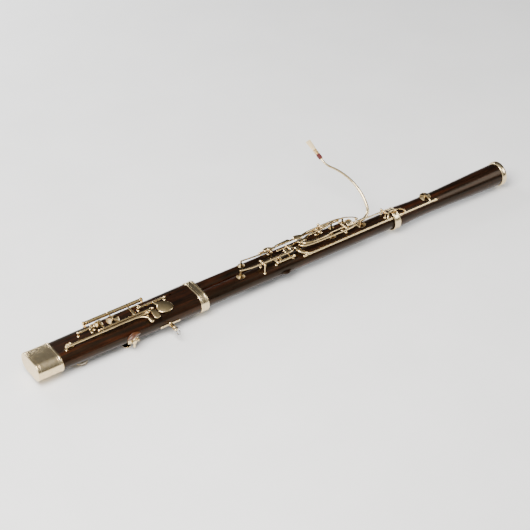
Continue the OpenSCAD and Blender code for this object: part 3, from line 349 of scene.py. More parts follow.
# ---- materials
class Nodes:
    """A node tree that is being built up. A socket takes a plain value or another node's output."""

    def __init__(self, tree):
        self.tree = tree

    def feed(self, socket, value):
        if isinstance(value, bpy.types.NodeSocket):
            self.tree.links.new(value, socket)
        elif socket.type == "RGBA":
            socket.default_value = (*value, 1.0)
        else:
            socket.default_value = value

    def node(self, kind, sockets=None, **settings):
        new = self.tree.nodes.new("ShaderNode" + kind)
        for key, value in settings.items():
            setattr(new, key, value)
        for key, value in (sockets or {}).items():
            self.feed(new.inputs[key], value)
        return new

    def noise(self, stretch, scale, detail=4.0, rough=0.55, distortion=0.0, kind="Object"):
        """Noise in the object's own space, stretched by a factor along each axis."""
        place = self.node("TexCoord").outputs[kind]
        vector = self.node("Mapping", {"Vector": place, "Scale": stretch}).outputs["Vector"]
        return self.node("TexNoise", {"Vector": vector, "Scale": scale, "Detail": detail, "Roughness": rough,
                                      "Distortion": distortion}).outputs["Fac"]

    def ramp(self, value, *stops):
        """A colour ramp; each stop is (place, colour)."""
        new = self.node("ValToRGB", {"Fac": value})
        while len(new.color_ramp.elements) < len(stops):
            new.color_ramp.elements.new(0.5)
        for element, (place, colour) in zip(new.color_ramp.elements, stops):
            element.position = place
            element.color = (*colour, 1.0)
        return new.outputs["Color"]

    def spread(self, value, low, high):
        """Maps 0..1 to low..high."""
        return self.node("MapRange", {"Value": value, "To Min": low, "To Max": high}).outputs["Result"]

    def mix(self, share, a, b, mode="MIX"):
        """Mixes two colours."""
        new = self.node("Mix", data_type="RGBA", blend_type=mode)
        for key, value in (("Factor", share), ("A", a), ("B", b)):
            self.feed(new.inputs[key], value)
        return new.outputs["Result"]

    def math(self, operation, *values):
        return self.node("Math", dict(enumerate(values)), operation=operation).outputs[0]

    def bump(self, height, strength, distance, under=None):
        """A bump in millimetres, over another normal if one is given."""
        sockets = {"Strength": strength, "Distance": distance * MM, "Height": height}
        if under is not None:
            sockets["Normal"] = under
        return self.node("Bump", sockets).outputs["Normal"]

    def soft_edges(self, radius):
        return self.node("Bevel", {"Radius": radius * MM}, samples=4).outputs["Normal"]


def node_material(name):
    material = bpy.data.materials.new(name)
    material.use_nodes = True
    return material, Nodes(material.node_tree)


def finish(material, colour, roughness, normal=None, **others):
    """Feeds the main shader; others are its remaining sockets, with _ for a space."""
    nodes = Nodes(material.node_tree)
    sockets = {"Base Color": colour, "Roughness": roughness}
    if normal is not None:
        sockets["Normal"] = normal
    sockets.update({key.replace("_", " "): value for key, value in others.items()})
    for key, value in sockets.items():
        nodes.feed(material.node_tree.nodes["Principled BSDF"].inputs[key], value)
    return material


def rosewood():
    """Varnished dark wood: red-brown streaks and fine pores run along the instrument."""
    material, nodes = node_material("rosewood")
    streaks = nodes.noise((2.2, 46.0, 46.0), 3.2, 7.0, 0.62, 0.7)
    colour = nodes.ramp(streaks, (0.34, (0.0034, 0.0017, 0.0008)), (0.46, (0.0070, 0.0030, 0.0013)),
                        (0.57, (0.0175, 0.0058, 0.0023)), (0.68, (0.034, 0.0100, 0.0040)),
                        (0.82, (0.012, 0.0042, 0.0018)))
    pores = nodes.noise((18.0, 420.0, 420.0), 5.0, 3.0, 0.5)
    pore_shade = nodes.ramp(pores, (0.40, (0.35, 0.30, 0.28)), (0.52, (1.0, 1.0, 1.0)))
    colour = nodes.mix(0.75, colour, pore_shade, "MULTIPLY")
    patches = nodes.noise((6.0, 14.0, 14.0), 2.0, 3.0)
    patch_shade = nodes.ramp(patches, (0.35, (0.62, 0.60, 0.60)), (0.65, (1.25, 1.12, 1.05)))
    colour = nodes.mix(0.8, colour, patch_shade, "MULTIPLY")
    wear = nodes.noise((30.0, 90.0, 90.0), 2.0, 5.0)
    return finish(material, colour, nodes.spread(wear, 0.22, 0.38),
                  nodes.bump(pores, 0.12, 0.08, nodes.soft_edges(0.5)), Coat_Weight=0.10, Coat_Roughness=0.14,
                  Specular_IOR_Level=0.20, Specular_Tint=(1.0, 0.74, 0.45))


def painted_sheen_wedges(nodes, colour):
    """Paints light and shade into a turned disc's colour, in wedges about its centre: a painted sheen, as the
    light breaks on a spun surface.
    """
    place = nodes.node("SeparateXYZ", {0: nodes.node("TexCoord").outputs["Generated"]})
    across = [nodes.math("SUBTRACT", place.outputs[axis], 0.5) for axis in "YX"]
    angle = nodes.math("ARCTAN2", *across)
    waves = 0.0
    for turns, phase, size in ((2.0, 0.2, 0.60), (3.0, 2.1, 0.40), (5.0, 0.9, 0.45)):
        wave = nodes.math("COSINE", nodes.math("MULTIPLY_ADD", angle, turns, phase))
        waves = nodes.math("MULTIPLY_ADD", wave, size, waves)
    shade = nodes.ramp(nodes.math("MULTIPLY_ADD", waves, 0.5, 0.5), (0.25, (0.085, 0.065, 0.045)),
                       (0.38, (0.26, 0.22, 0.17)), (0.52, (0.60, 0.55, 0.48)), (0.68, (1.20, 1.20, 1.15)))
    return nodes.mix(1.0, colour, shade, "MULTIPLY")


def gold_plate(name, tint, smoothest, roughest, turned=False, edge=0.25):
    """Polished pale gold with faint tarnish, fine scratches and softly rounded edges; a turned one also gets
    painted light and shade in wedges.
    """
    material, nodes = node_material(name)
    dull = tuple(c * k for c, k in zip(tint, (0.90, 0.86, 0.78)))
    bright = tuple(min(1.0, c * 1.05) for c in tint)
    tarnish = nodes.noise((70.0, 70.0, 70.0), 2.0, 6.0, 0.6)
    colour = nodes.ramp(tarnish, (0.34, dull), (0.52, tint), (0.72, bright))
    scratches = nodes.noise((260.0, 1900.0, 1900.0), 1.2, 3.0)
    smudge = nodes.noise((40.0, 40.0, 40.0), 3.0, 5.0)
    rough = nodes.math("MULTIPLY_ADD", scratches, 0.10, nodes.spread(smudge, smoothest, roughest))
    others = {"Metallic": 1.0}
    if turned:
        # painted highlight and shade: light and dark wedges in the colour, beside the real radial sheen of the
        # anisotropy
        colour = painted_sheen_wedges(nodes, colour)
        round_about = nodes.node("Tangent", direction_type="RADIAL", axis="Z")
        others.update(Anisotropic=0.9, Tangent=round_about.outputs["Tangent"])
    normal = nodes.bump(scratches, 0.05, 0.05, nodes.soft_edges(edge))
    return finish(material, colour, rough, normal, **others)


def steel():
    material, nodes = node_material("steel")
    wear = nodes.noise((300.0, 300.0, 300.0), 2.0, 4.0)
    colour = nodes.ramp(wear, (0.35, (0.30, 0.29, 0.28)), (0.6, (0.56, 0.56, 0.57)))
    return finish(material, colour, nodes.spread(wear, 0.16, 0.34), nodes.bump(wear, 0.1, 0.03), Metallic=1.0)


def pad_leather():
    """Pale kid leather with fine creases."""
    material, nodes = node_material("pad_leather")
    place = nodes.node("TexCoord").outputs["Object"]
    cells = nodes.node("TexVoronoi", {"Vector": place, "Scale": 1500.0}, feature="DISTANCE_TO_EDGE")
    stain = nodes.noise((160.0, 160.0, 160.0), 2.0, 5.0)
    colour = nodes.ramp(stain, (0.35, (0.50, 0.40, 0.27)), (0.6, (0.74, 0.68, 0.56)))
    return finish(material, colour, 0.62, nodes.bump(cells.outputs["Distance"], 0.35, 0.1))


def cork():
    material, nodes = node_material("cork")
    grain = nodes.noise((420.0, 420.0, 420.0), 2.5, 6.0, 0.7)
    colour = nodes.ramp(grain, (0.38, (0.17, 0.085, 0.035)), (0.5, (0.44, 0.27, 0.13)),
                        (0.7, (0.58, 0.39, 0.21)))
    return finish(material, colour, 0.85, nodes.bump(grain, 0.5, 0.25))


def thread():
    """Waxed dark red thread; its turns are in the mesh, its twist in the bump."""
    material, nodes = node_material("thread")
    twist = nodes.noise((900.0, 2600.0, 2600.0), 1.0, 2.0)
    colour = nodes.ramp(twist, (0.35, (0.035, 0.0025, 0.002)), (0.65, (0.14, 0.007, 0.005)))
    return finish(material, colour, 0.55, nodes.bump(twist, 0.5, 0.1), Sheen_Weight=0.08)


def cane():
    """Reed cane: straw yellow with long fibres; its bark is scraped away towards the tip."""
    material, nodes = node_material("cane")
    fibres = nodes.noise((1500.0, 1500.0, 140.0), 0.02, 5.0, kind="Generated")
    blotch = nodes.noise((260.0, 260.0, 260.0), 1.5, 4.0)
    tone = nodes.ramp(fibres, (0.35, (0.45, 0.29, 0.10)), (0.65, (0.72, 0.54, 0.25)))
    bark = nodes.mix(nodes.spread(blotch, 0.0, 0.6), tone, (0.46, 0.27, 0.07))
    inside = nodes.mix(nodes.spread(blotch, 0.0, 0.4), (0.82, 0.66, 0.38), (0.70, 0.50, 0.24))
    scraped = nodes.node("Attribute", attribute_name="scraped").outputs["Fac"]
    return finish(material, nodes.mix(scraped, bark, inside), nodes.spread(scraped, 0.28, 0.55),
                  nodes.bump(fibres, 0.3, 0.1))


def brown_wood():
    """Oiled lighter wood of the hand rest."""
    material, nodes = node_material("brown_wood")
    grain = nodes.noise((30.0, 260.0, 260.0), 3.0, 6.0, 0.6, 0.5)
    colour = nodes.ramp(grain, (0.36, (0.022, 0.0075, 0.0028)), (0.52, (0.070, 0.023, 0.0065)),
                        (0.70, (0.150, 0.052, 0.0140)))
    return finish(material, colour, nodes.spread(grain, 0.30, 0.45),
                  nodes.bump(grain, 0.2, 0.15, nodes.soft_edges(0.4)), Coat_Weight=0.25)


MATERIALS = {"rosewood": rosewood(), "brown_wood": brown_wood(), "steel": steel(),
             "pad_leather": pad_leather(), "cork": cork(), "thread": thread(), "cane": cane()}
for name, *look in (("keywork", (0.80, 0.60, 0.31), 0.06, 0.17),
                    ("fittings", (0.80, 0.64, 0.38), 0.10, 0.20),
                    ("cup_metal", (0.80, 0.62, 0.35), 0.22, 0.30, True),
                    ("brass_wire", (0.72, 0.50, 0.22), 0.25, 0.4, False, 0.05)):
    MATERIALS[name] = gold_plate(name, *look)



# ---- CAD nodes that stay in view
for part in frame["record"]["subparts"]:
    mesh = frame["nodes"][part["node"]].data
    mesh.materials.clear()
    mesh.materials.append(MATERIALS[part["material_slot"]])
    mesh.shade_smooth()
    mesh.set_sharp_from_angle(angle=math.radians(30))


# ---- cups, pads and hinge tubes
POCKET = 1.4                          # how deep a pad sits in its cup
CUP_WALL = 0.8


def cup_shell(pad_name, boss_top, front=False):
    """The turned cup over a pad: rim bead, groove, shallow cone and a boss under the lever."""
    x, y, r, low_z, high_z = closed_pad(pad_name)
    rim = r + CUP_WALL
    base = low_z + POCKET if front else high_z - POCKET
    top = abs(boss_top - base)
    cone_top = min(3.2, top - 0.3)
    profile = [(AXLE_R, POCKET), (r + 0.05, POCKET), (r + 0.05, 0.0), (rim - 0.2, 0.0), (rim, 0.2),
               (rim, 1.5), (rim - 0.12, 1.85), (rim - 0.45, 2.08), (rim - 0.85, 1.98), (rim - 1.05, 1.78),
               (rim - 1.35, 1.80), (rim * 0.36 + 0.5, cone_top - 0.14)]
    if rim * 0.30 < BALL_R:
        profile += [(3.3, cone_top - 0.05)]
    else:
        profile += [(rim * 0.36, cone_top), (rim * 0.30, cone_top), (3.3, cone_top - 0.08), (2.75, cone_top)]
    profile += [(2.4, cone_top + 0.25), (2.2, top), (AXLE_R, top)]
    return lathe(profile, (x, y, base), -UP if front else UP, 96)


def pad_shell(pad_name, front=False):
    """A leather pad: rounded edge, and the ring that its tone hole has pressed into it."""
    x, y, r, low_z, high_z = closed_pad(pad_name)
    profile = [(r * 0.48, 0.05), (r * 0.54, 0.22), (r * 0.58, 0.22), (r * 0.64, 0.02), (r - 0.9, 0.0),
               (r - 0.35, 0.12), (r - 0.08, 0.40), (r, 0.8), (r, high_z - low_z)]
    return lathe(capped(profile), (x, y, high_z if front else low_z), -UP if front else UP, 72)


def tube_shell(x1, x2, y, z, r=TUBE_R):
    """A hinge tube along X between two posts, with a turned collar at each end."""
    length = x2 - x1 - 2 * END_GAP
    collar = [(0.0, -0.25), (0.25, 0.0), (1.7, 0.0), (1.9, -0.25), (2.15, -0.25), (2.35, 0.0), (2.9, 0.0),
              (3.1, -0.18), (3.3, -0.02)]
    start = [(r + step, h) for h, step in collar]
    end = [(radius, length - h) for radius, h in reversed(start)]
    return lathe([(BORE_R, 0.0)] + start + end + [(BORE_R, length)], (x1 + END_GAP, y, z), AXIS_X, 40)


def hub_shell(y1, y2, x, z, r):
    """The cross tube of a lever that rocks between two posts."""
    length = y2 - y1 - 2 * END_GAP
    half = [(BORE_R, 0.0), (r - 0.3, 0.0), (r, 0.3), (r, length * 0.30), (r - 0.25, length * 0.36)]
    profile = half + [(radius, length - h) for radius, h in reversed(half)]
    return lathe(profile, (x, y1 + END_GAP, z), AXIS_Y, 40)


def fluted(profile, start, direction, inner_r, flutes, depth):
    """A turned shape whose parts beyond inner_r carry flutes along its axis."""
    sides = flutes * 6
    dip = depth * (0.5 - 0.5 * np.cos(turn_angles(sides) * flutes))
    cut_profile = [(r - dip if r > inner_r else r, h) for r, h in profile]
    return lathe(cut_profile, start, direction, sides)


# ---- the key builders
# Where the posts of each hinge stand: along X for a hinge tube, along Y for a rocking lever
TUBE_POSTS = {"b_flat_side": (127, 168), "b_flat": (170, 308), "f_sharp": (157, 308),
              "f_sharp_plate": (282, 352), "g_sharp": (82, 291), "low_f": (100, 250), "a_flat": (150, 272),
              "low_b_flat": (718, 976), "bell": (1008, 1116), "low_d": (640, 688), "whisper": (638, 870)}
ROCKER_POSTS = {"low_b": (-27, -11), "low_c": (-23, -9), "low_c_sharp": (-34, -17), "c_sharp": (7, 19),
                "high_d": (7, 17), "high_a": (6, 18), "high_c": (18, 32)}
LUG_HALF = 2.5                        # half the width of the lugs that carry the wide tube
LUG_GAP = 0.3


def placed(outline, y, z):
    return [(p[0], p[1] + y, p[2] + z, p[3], p[4]) for p in outline]


def finish_key(name, shells, cup_top=None, front=False):
    """Adds a key turned to its rest place, with its cup and its pad."""
    body = key_body(name)
    matrix = turn_matrix(body, open_angle(name))
    add(name + "_lever_work", shells, body, "keywork", matrix, (body,))
    if cup_top is None:
        return
    add(name + "_cup", [cup_shell(name, cup_top, front)], body, "cup_metal", matrix, angle=50)
    add(name + "_pad_leather", [pad_shell(name, front)], body, "pad_leather", matrix, (name + "_pad",))


def tube_key(name, arms, bars=(), cup_rise=None, front=False, tube_r=TUBE_R, shorter=0.0, extra=()):
    """A key on a hinge tube along X; arms and bars are given from the hinge line.

    An arm is the power of its section and its outline; a bar is its ends and its radius at each."""
    _, y, z = place_of(hinge_of(key_body(name)))
    x1, x2 = TUBE_POSTS[name]
    shells = [tube_shell(x1 + shorter, x2 - shorter, y, z, tube_r)]
    shells += [sweep(placed(outline, y, z), square=power) for power, *outline in arms]
    shells += [bar(np.add(a, (0, y, z)), np.add(b, (0, y, z)), r1, r2) for a, b, r1, r2 in bars]
    finish_key(name, shells + list(extra), None if cup_rise is None else z + cup_rise, front)


def lever_key(name, arm, cup_drop=0.0, hub_r=3.2):
    """A lever that rocks on a rod along Y; its outline is [x, y, height from the hinge, ...]."""
    x, _, z = place_of(hinge_of(key_body(name)))
    shells = [hub_shell(*ROCKER_POSTS[name], x, z, hub_r), sweep(placed(arm, 0.0, z), square=2.3)]
    finish_key(name, shells, z - cup_drop)


def slotted_head(place, direction, r, height):
    """A small screw head with its slot, as a disc of two halves over a lower disc."""
    d = unit(direction)
    side, other = frame_of(d)
    angles = np.radians(np.linspace(8, 172, 12))
    n = len(angles)
    half = r * (np.outer(np.cos(angles), side) + np.outer(np.sin(angles), other))
    caps = [tuple(reversed(range(n))), tuple(range(n, 2 * n))]
    sides = [(k, (k + 1) % n, n + (k + 1) % n, n + k) for k in range(n)]
    shells = [lathe(capped([(r, -1.0), (r, height * 0.45)]), place, d, 24)]
    for outline in (np.asarray(place) + half, np.asarray(place) - half):
        shells.append((np.concatenate([outline + d * height * 0.3, outline + d * height]), caps + sides))
    return shells


def post_shells(x, y, z, axis_y, r, rod_axis):
    """A ball-headed post on a round body of radius r, with its flared foot and the rod's slotted ends."""
    reach = math.hypot(y - axis_y, z)
    profile = [(AXLE_R, r - 1.2), (3.4, r - 1.2), (3.4, r + 0.55), (3.15, r + 0.85), (2.5, r + 1.1),
               (1.9, r + 1.7), (1.55, r + 2.6), (1.45, r + 3.4)]
    ball = [(BALL_R * math.cos(v), reach + BALL_R * math.sin(v)) for v in np.radians(range(-62, 91, 12))]
    profile += [point for point in ball if point[1] > r + 3.5]
    shells = [lathe(profile + [(AXLE_R, reach + BALL_R)], (x, axis_y, 0.0), (0.0, y - axis_y, z), 40)]
    for way in (-rod_axis, rod_axis):
        shells += slotted_head((x, y, z) + way * (BALL_R - 0.35), way, 1.55, 0.5)
    return shells


def x_posts(name, r, axis_y=None):
    """Posts at both ends of a hinge tube and the rod between them; they stand upright if no axis is given."""
    _, y, z = place_of(hinge_of(key_body(name)))
    x1, x2 = TUBE_POSTS[name]
    shells = []
    for x in (x1, x2):
        shells += post_shells(x, y, z, y if axis_y is None else axis_y, r, AXIS_X)
    return shells + [rod((x1, y, z), (x2, y, z), ROD_R)]


def y_posts(name, axis_y, wood_r):
    """Upright posts on both sides of a rocking lever and the rod between them; wood_r gives a radius at x."""
    x, _, z = place_of(hinge_of(key_body(name)))
    y1, y2 = ROCKER_POSTS[name]
    shells = []
    for y in (y1, y2):
        shells += post_shells(x, y, z, y, math.sqrt(wood_r(x) ** 2 - (y - axis_y) ** 2), AXIS_Y)
    return shells + [rod((x, y1, z), (x, y2, z), ROD_R)]


def domed_plate(centre, half_x, half_y, dome, edge_t, tilt, sides=72, rings=14):
    """An egg-shaped touch: domed above, flatter below, tilted over the wood; narrower at its arm."""
    shares = np.linspace(0.04, 1.0, rings)
    levels = [(s, dome * (1 - s ** 2.2) ** 0.9 + edge_t) for s in shares]
    levels += [(1.02, edge_t * 0.5), (1.0, -edge_t * 0.3), (0.93, -edge_t)]
    levels += [(s, -edge_t - 0.5 * (1 - s)) for s in (0.7, 0.4, 0.04)]
    verts = []
    for share, z in levels:
        for t in turn_angles(sides):
            x = half_x * share * math.cos(t) * (1 - 0.16 * math.sin(t))
            y = half_y * share * math.sin(t)
            verts.append((centre[0] + x, centre[1] + y, centre[2] + z + math.tan(math.radians(tilt)) * y))
    return np.array(verts), ring_faces(len(levels), sides)


# ---- boot keys
tube_key("b_flat_side",
         [[2.2, (155, 0, 0, 2.4, 1.8), (155, -3, 0.3, 1.9, 1.5), (155, -6, 0.5, 2.4, 1.6),
           (155, -9, 0.3, 3.6, 1.9), (155, -12, -0.1, 4.3, 2.1), (155, -15, -0.5, 3.7, 1.9)],
          [2.0, (175, 8.2, -0.6, 1.2, 1.1), (180, 8.2, -0.6, 1.1, 1.0)]],
         [((161.5, 0, 0), (161.5, 8.2, -0.6), 1.5, 1.3), ((161.5, 8.2, -0.6), (177, 8.2, -0.6), 1.3, 1.1)])
tube_key("b_flat",
         [[2.1, (184, 0, 0.4, 2.8, 1.9), (184, 4, 1.6, 2.0, 1.6), (184, 9, 2.4, 1.6, 1.4),
           (184, 18, 2.9, 1.5, 1.3), (184, 27.2, 2.8, 1.9, 1.4)],
          [3.0, (187, 27.2, 2.9, 2.1, 0.9), (180, 27.2, 2.5, 2.0, 0.8), (175, 27.2, 2.1, 1.8, 0.8)],
          [4.0, (262, 0, 0, 1.4, 1.5), (274, -0.2, 0.1, 1.8, 1.7), (284, -0.6, 0, 2.0, 1.8),
           (299, -3.4, 0.4, 3.4, 1.6), (304.5, -11, 0, 6.6, 1.5), (305.5, -20, -1.6, 8.0, 1.4),
           (305.5, -26, -3.3, 8.0, 1.4)]],
         cup_rise=3.6)
tube_key("f_sharp",
         [[2.1, (218, 0, 3.4, 3.2, 1.8), (218, -5, 4.2, 2.2, 1.5), (218, -12, 4.4, 1.7, 1.4),
           (218, -24.9, 4.0, 2.1, 1.4)],
          [2.2, (267, 0, 3.0, 3.2, 1.8), (267, -6, 3.6, 2.3, 1.6), (267, -13, 3.6, 2.1, 1.6),
           (267, -21, 3.5, 2.6, 1.7), (267, -29, 3.3, 3.6, 1.9), (267, -35, 3.0, 4.2, 2.0),
           (267, -39, 2.6, 3.8, 1.8)]],
         cup_rise=4.6, tube_r=4.6, shorter=LUG_HALF + LUG_GAP - END_GAP)
tube_key("f_sharp_plate",
         [[2.3, (320, 0, 0, 2.8, 1.9), (321, -4, 0.8, 3.4, 1.9), (324, -9, 1.2, 5.5, 1.8),
           (328, -14, 1.0, 7.0, 1.5)]],
         [((289, 0, 0), (289, 16.8, -6.4), 1.5, 1.3), ((289, 16.8, -6.4), (266, 16.8, -6.4), 1.3, 1.1)],
         extra=[domed_plate((335, -21.5, 30.1), 18.6, 16.8, 2.2, 0.9, 9)])
tube_key("g_sharp",
         [[2.2, (250, -0.6, 0, 1.6, 1.6), (260, -1.4, 0.1, 1.8, 1.6), (268, -3, 0, 2.1, 1.7),
           (279, -8, -0.4, 2.7, 1.9), (284, -13, -1.4, 3.3, 2.0), (286.5, -18.5, -2.9, 4.4, 2.2),
           (288, -24.5, -4.9, 5.2, 2.2)]],
         [((96, 0, 0), (96, 9.3, -1.6), 1.9, 1.5)], cup_rise=-0.6)
tube_key("low_f",
         [[2.3, (208, 0, 0, 1.8, 1.6), (216, -1.2, -0.4, 2.4, 1.7), (222, -3, -0.6, 3.6, 1.8),
           (227, -7, -0.9, 6.0, 1.8), (230, -12, -1, 8.2, 1.7), (232, -19, -0.6, 9.3, 1.7),
           (232, -24, 0, 8.6, 1.6)]],
         [((116, 0, 0), (116, -18, 0.8), 1.9, 1.5)], cup_rise=-0.4, front=True)
tube_key("a_flat",
         [[2.3, (258, 0, 0, 2.0, 1.7), (260, -4, -0.5, 2.6, 1.7), (261, -8, -0.8, 3.4, 1.7),
           (261, -18, -0.8, 6.0, 1.8), (260, -25, -0.3, 6.9, 1.7), (259, -31, 0.4, 6.2, 1.6)]],
         [((166, 0, 0), (166, 11, 0.8), 1.9, 1.5)], cup_rise=-0.4, front=True)

# ---- long joint and bell keys
tube_key("low_b_flat",
         [[2.2, (736, 0, 0, 1.8, 1.8), (728, 0.4, 1.8, 2.0, 2.0), (722, 1.5, 4.4, 2.5, 2.2),
           (715, 4.0, 7.0, 3.3, 2.4), (710, 8, 8.4, 4.2, 2.6), (706.5, 12.5, 9.0, 5.0, 2.7),
           (705.4, 17, 9, 5.3, 2.7), (705.4, 22, 8.5, 5.2, 2.5), (705.4, 27, 7.6, 4.2, 2.2)],
          [2.2, (964, 0, 0, 2.4, 1.9), (968, 6, 7, 1.9, 1.6), (978, 14, 10, 2.0, 1.4),
           (995, 14, 10, 2.0, 1.3)]])
tube_key("bell",
         [[2.1, (1098, 0, 0, 2.8, 2.0), (1098, 4, 3.2, 2.1, 1.7), (1098, 8, 4.6, 1.8, 1.5),
           (1098, 16, 4.9, 1.6, 1.3), (1098, 22, 4.6, 1.9, 1.3)],
          [2.4, (1020, 0, 0, 2.4, 1.9), (1016, 6, 6, 1.8, 1.5), (1006, 14, 7.4, 2.2, 1.1),
           (990, 14, 7.4, 2.4, 1.0)]],
         cup_rise=5.0)
tube_key("low_d",
         [[2.1, (678, 0, 0, 2.2, 1.8), (678, 4, -0.5, 1.7, 1.4), (678, 8, -0.6, 1.5, 1.3),
           (678, 12, -0.6, 1.7, 1.3), (678, 15, -0.2, 3.2, 1.7), (678, 18, 0, 4.9, 2.1),
           (678, 22, 0, 5.3, 2.3), (678, 26, -0.4, 3.8, 1.9)]],
         [((651, 0, 0), (651, 15, -3), 1.8, 1.3)], cup_rise=-2.0)
lever_key("low_b",
          [(966, -19, 0, 2.2, 1.9), (930, -19, -0.3, 1.8, 1.7), (898, -19, -0.6, 1.9, 1.7),
           (874, -27, -0.9, 1.9, 1.7), (850, -31, -1.2, 2.0, 1.8), (805, -31, -2.3, 2.1, 1.9),
           (760, -30, -3.4, 2.3, 2.0), (740, -28.2, -4.0, 2.8, 2.2), (728, -25, -4.6, 3.8, 2.5),
           (720.5, -20, -5.2, 4.8, 2.7), (718.5, -16, -5.8, 4.6, 2.4)], 1.0)
lever_key("low_c",
          [(850, -16, 0, 2.2, 1.9), (812, -17, -0.8, 1.9, 1.7), (790, -22, -1.4, 2.0, 1.8),
           (760, -22.8, -2.4, 2.3, 2.0), (748, -21.8, -2.8, 2.8, 2.3), (738, -18, -3.6, 3.9, 2.6),
           (732, -13.6, -4.4, 4.9, 2.6), (731, -10.6, -5.0, 4.5, 2.3)], 1.0)
lever_key("low_c_sharp",
          [(545, -19, 0, 1.9, 1.6), (570, -24.5, 0, 2.0, 1.8), (603, -25.5, 0, 2.2, 2.0),
           (640, -25.7, 0, 2.1, 1.9), (672, -25.7, 0, 2.4, 2.0), (684, -25, 0, 3.0, 2.4),
           (690.5, -21.6, -0.8, 4.1, 2.7), (692.5, -14.6, -2.6, 5.4, 2.9), (692.5, -11.2, -3.6, 5.2, 2.6)])

# ---- wing joint keys
lever_key("high_a",
          [(836, 19, 0, 1.8, 1.6), (814, 13, 0, 1.9, 1.7), (790, 12, 0, 2.1, 1.9), (764, 11, 0, 2.3, 2.0),
           (751, 6.5, 0.8, 3.3, 2.4), (740, 1.8, 1.0, 4.5, 2.7), (728, 0.8, 0.2, 4.9, 2.4)])
lever_key("high_c",
          [(870, 19, 0, 1.8, 1.6), (850, 24.4, 0, 1.9, 1.7), (806, 25, 0, 2.1, 1.9),
           (768, 23.6, 0, 2.3, 2.0), (755, 20.0, 0.8, 3.2, 2.4), (746, 17.0, 1.0, 5.0, 2.6),
           (738, 18.0, 0.5, 8.4, 2.8), (731, 20.0, -0.4, 9.4, 2.5)])
lever_key("high_d",
          [(751, 17, 0, 1.6, 1.3), (725, 13, 0, 1.4, 1.2), (700, 12, 0, 1.5, 1.3),
           (682, 11.8, 0.8, 1.9, 1.2), (671, 11.6, 1.2, 2.6, 1.2)], -0.2, hub_r=2.4)
lever_key("c_sharp",
          [(572, 19, 0, 1.8, 1.6), (600, 16, 0, 1.9, 1.7), (648, 13, 0, 2.1, 1.9), (660, 13.6, 0, 2.1, 1.9),
           (668, 18, 0.4, 2.5, 2.0), (676, 20.6, 0.4, 3.1, 2.1), (694, 21, 0, 4.2, 2.3),
           (709, 21.4, -0.6, 5.4, 2.4)])

NIB_X = WING_TOP + 18                 # the bocal's nib, under the whisper key's pad


def whisper_key():
    """Its tube runs up the wing's edge, from an oval touch to a small cup over the bocal's nib."""
    _, y, z = place_of(hinge_of("whisper_key"))
    pad_x, pad_y, r, _, high_z = closed_pad("whisper")
    cup = [(r + 0.05, POCKET - 0.1), (r + 0.05, 0.0), (r + 0.5, 0.0), (r + 0.65, 0.3), (r + 0.65, 1.8),
           (r + 0.35, 2.2), (r * 0.6, 2.7), (1.6, 3.2), (1.3, 3.6)]
    shells = [tube_shell(*TUBE_POSTS["whisper"], y, z),
              sweep(placed([(652, 0, 0, 2.4, 1.9), (652, -0.6, 4, 2.0, 1.7), (652, -2, 7, 2.4, 1.8),
                            (652.5, -5, 9.0, 3.4, 1.6)], y, z), square=2.2),
              domed_plate((653.5, y - 9.5, z + 10.2), 11.5, 7.2, 2.0, 0.8, -3),
              sweep(placed([(858, 0, 0, 2.2, 1.8), (861, -3, 3.4, 1.8, 1.5), (872, -5.2, 5.2, 1.6, 1.4),
                            (884, -6.6, 5.8, 1.6, 1.4), (903, -14, 3.0, 1.6, 1.3),
                            (NIB_X, -19, -0.2, 1.6, 1.2)],
                           y, z), square=2.1),
              lathe(capped(cup), (pad_x, pad_y, high_z - POCKET), UP, 48)]
    turned = turn_matrix("whisper_key", open_angle("whisper"))
    add("whisper_lever_work", shells, "whisper_key", "keywork", turned, ("whisper_key",))
    add("whisper_pad_leather", [pad_shell("whisper")], "whisper_key", "pad_leather", turned, ("whisper_pad",))


whisper_key()


# ---- posts
def lug_shells(x, y, z, axis_y, r):
    """A square lug for the wide tube, on its stem, with a slotted screw in its top."""
    stem = [(AXLE_R, r - 1.2), (4.2, r - 1.2), (4.2, r + 0.5), (3.6, r + 0.9), (2.2, r + 1.6), (2.0, r + 3),
            (2.0, r + 5)]
    return [block((x - LUG_HALF, y - 4, z - 4), (x + LUG_HALF, y + 4, z + 4), 0.6),
            lathe(stem, (x, axis_y, 0.0), (0.0, y - axis_y, z), 40),
            *slotted_head((x, y, z + 4), UP, 2.3, 0.9)]


# The wood's radius is taken near the middle of each hinge tube
boot_posts = []
for name, wood_at in (("b_flat_side", 150), ("b_flat", 240), ("f_sharp_plate", 320), ("g_sharp", 190),
                      ("low_f", 180), ("a_flat", 210)):
    boot_posts += x_posts(name, boot_r(wood_at))
for x in TUBE_POSTS["f_sharp"]:
    boot_posts += lug_shells(x, *place_of(hinge_of("f_sharp_key"))[1:], WING_Y, boot_r(230))
add("boot_post_work", boot_posts, "boot", "keywork", replaces=("boot_posts",))

wing_posts = []
for name in ("c_sharp", "high_d", "high_a", "high_c"):
    wing_posts += y_posts(name, WING_Y, wing_r)
wing_posts += x_posts("whisper", wing_r(760), WING_Y)
add("wing_post_work", wing_posts, "wing", "keywork", replaces=("wing_posts",))

long_posts = x_posts("low_b_flat", long_r(850), LONG_Y) + x_posts("low_d", long_r(660), LONG_Y)
for name in ("low_c_sharp", "low_c", "low_b"):
    long_posts += y_posts(name, LONG_Y, long_r)
add("long_post_work", long_posts, "long", "keywork", replaces=("long_posts",))
add("bell_post_work", x_posts("bell", 25.5, LONG_Y), "bell", "keywork", replaces=("bell_posts",))

# ---- the boot's cap, gasket and band
def oval_loft(profile, sides=28, loop=False):
    """(radius, x) points swept round two side-by-side circles joined by flats."""
    rings = []
    for r, x in profile:
        half = math.asin((r - min(FLAT_SINK, r * 0.5)) / r)
        arc = np.linspace(-half, half, sides)
        rings += [(x, WING_Y + r * math.cos(t), r * math.sin(t)) for t in arc]
        rings += [(x, LONG_Y - r * math.cos(t), r * math.sin(t)) for t in reversed(arc)]
    return np.array(rings, float), ring_faces(len(profile), 2 * sides, loop)


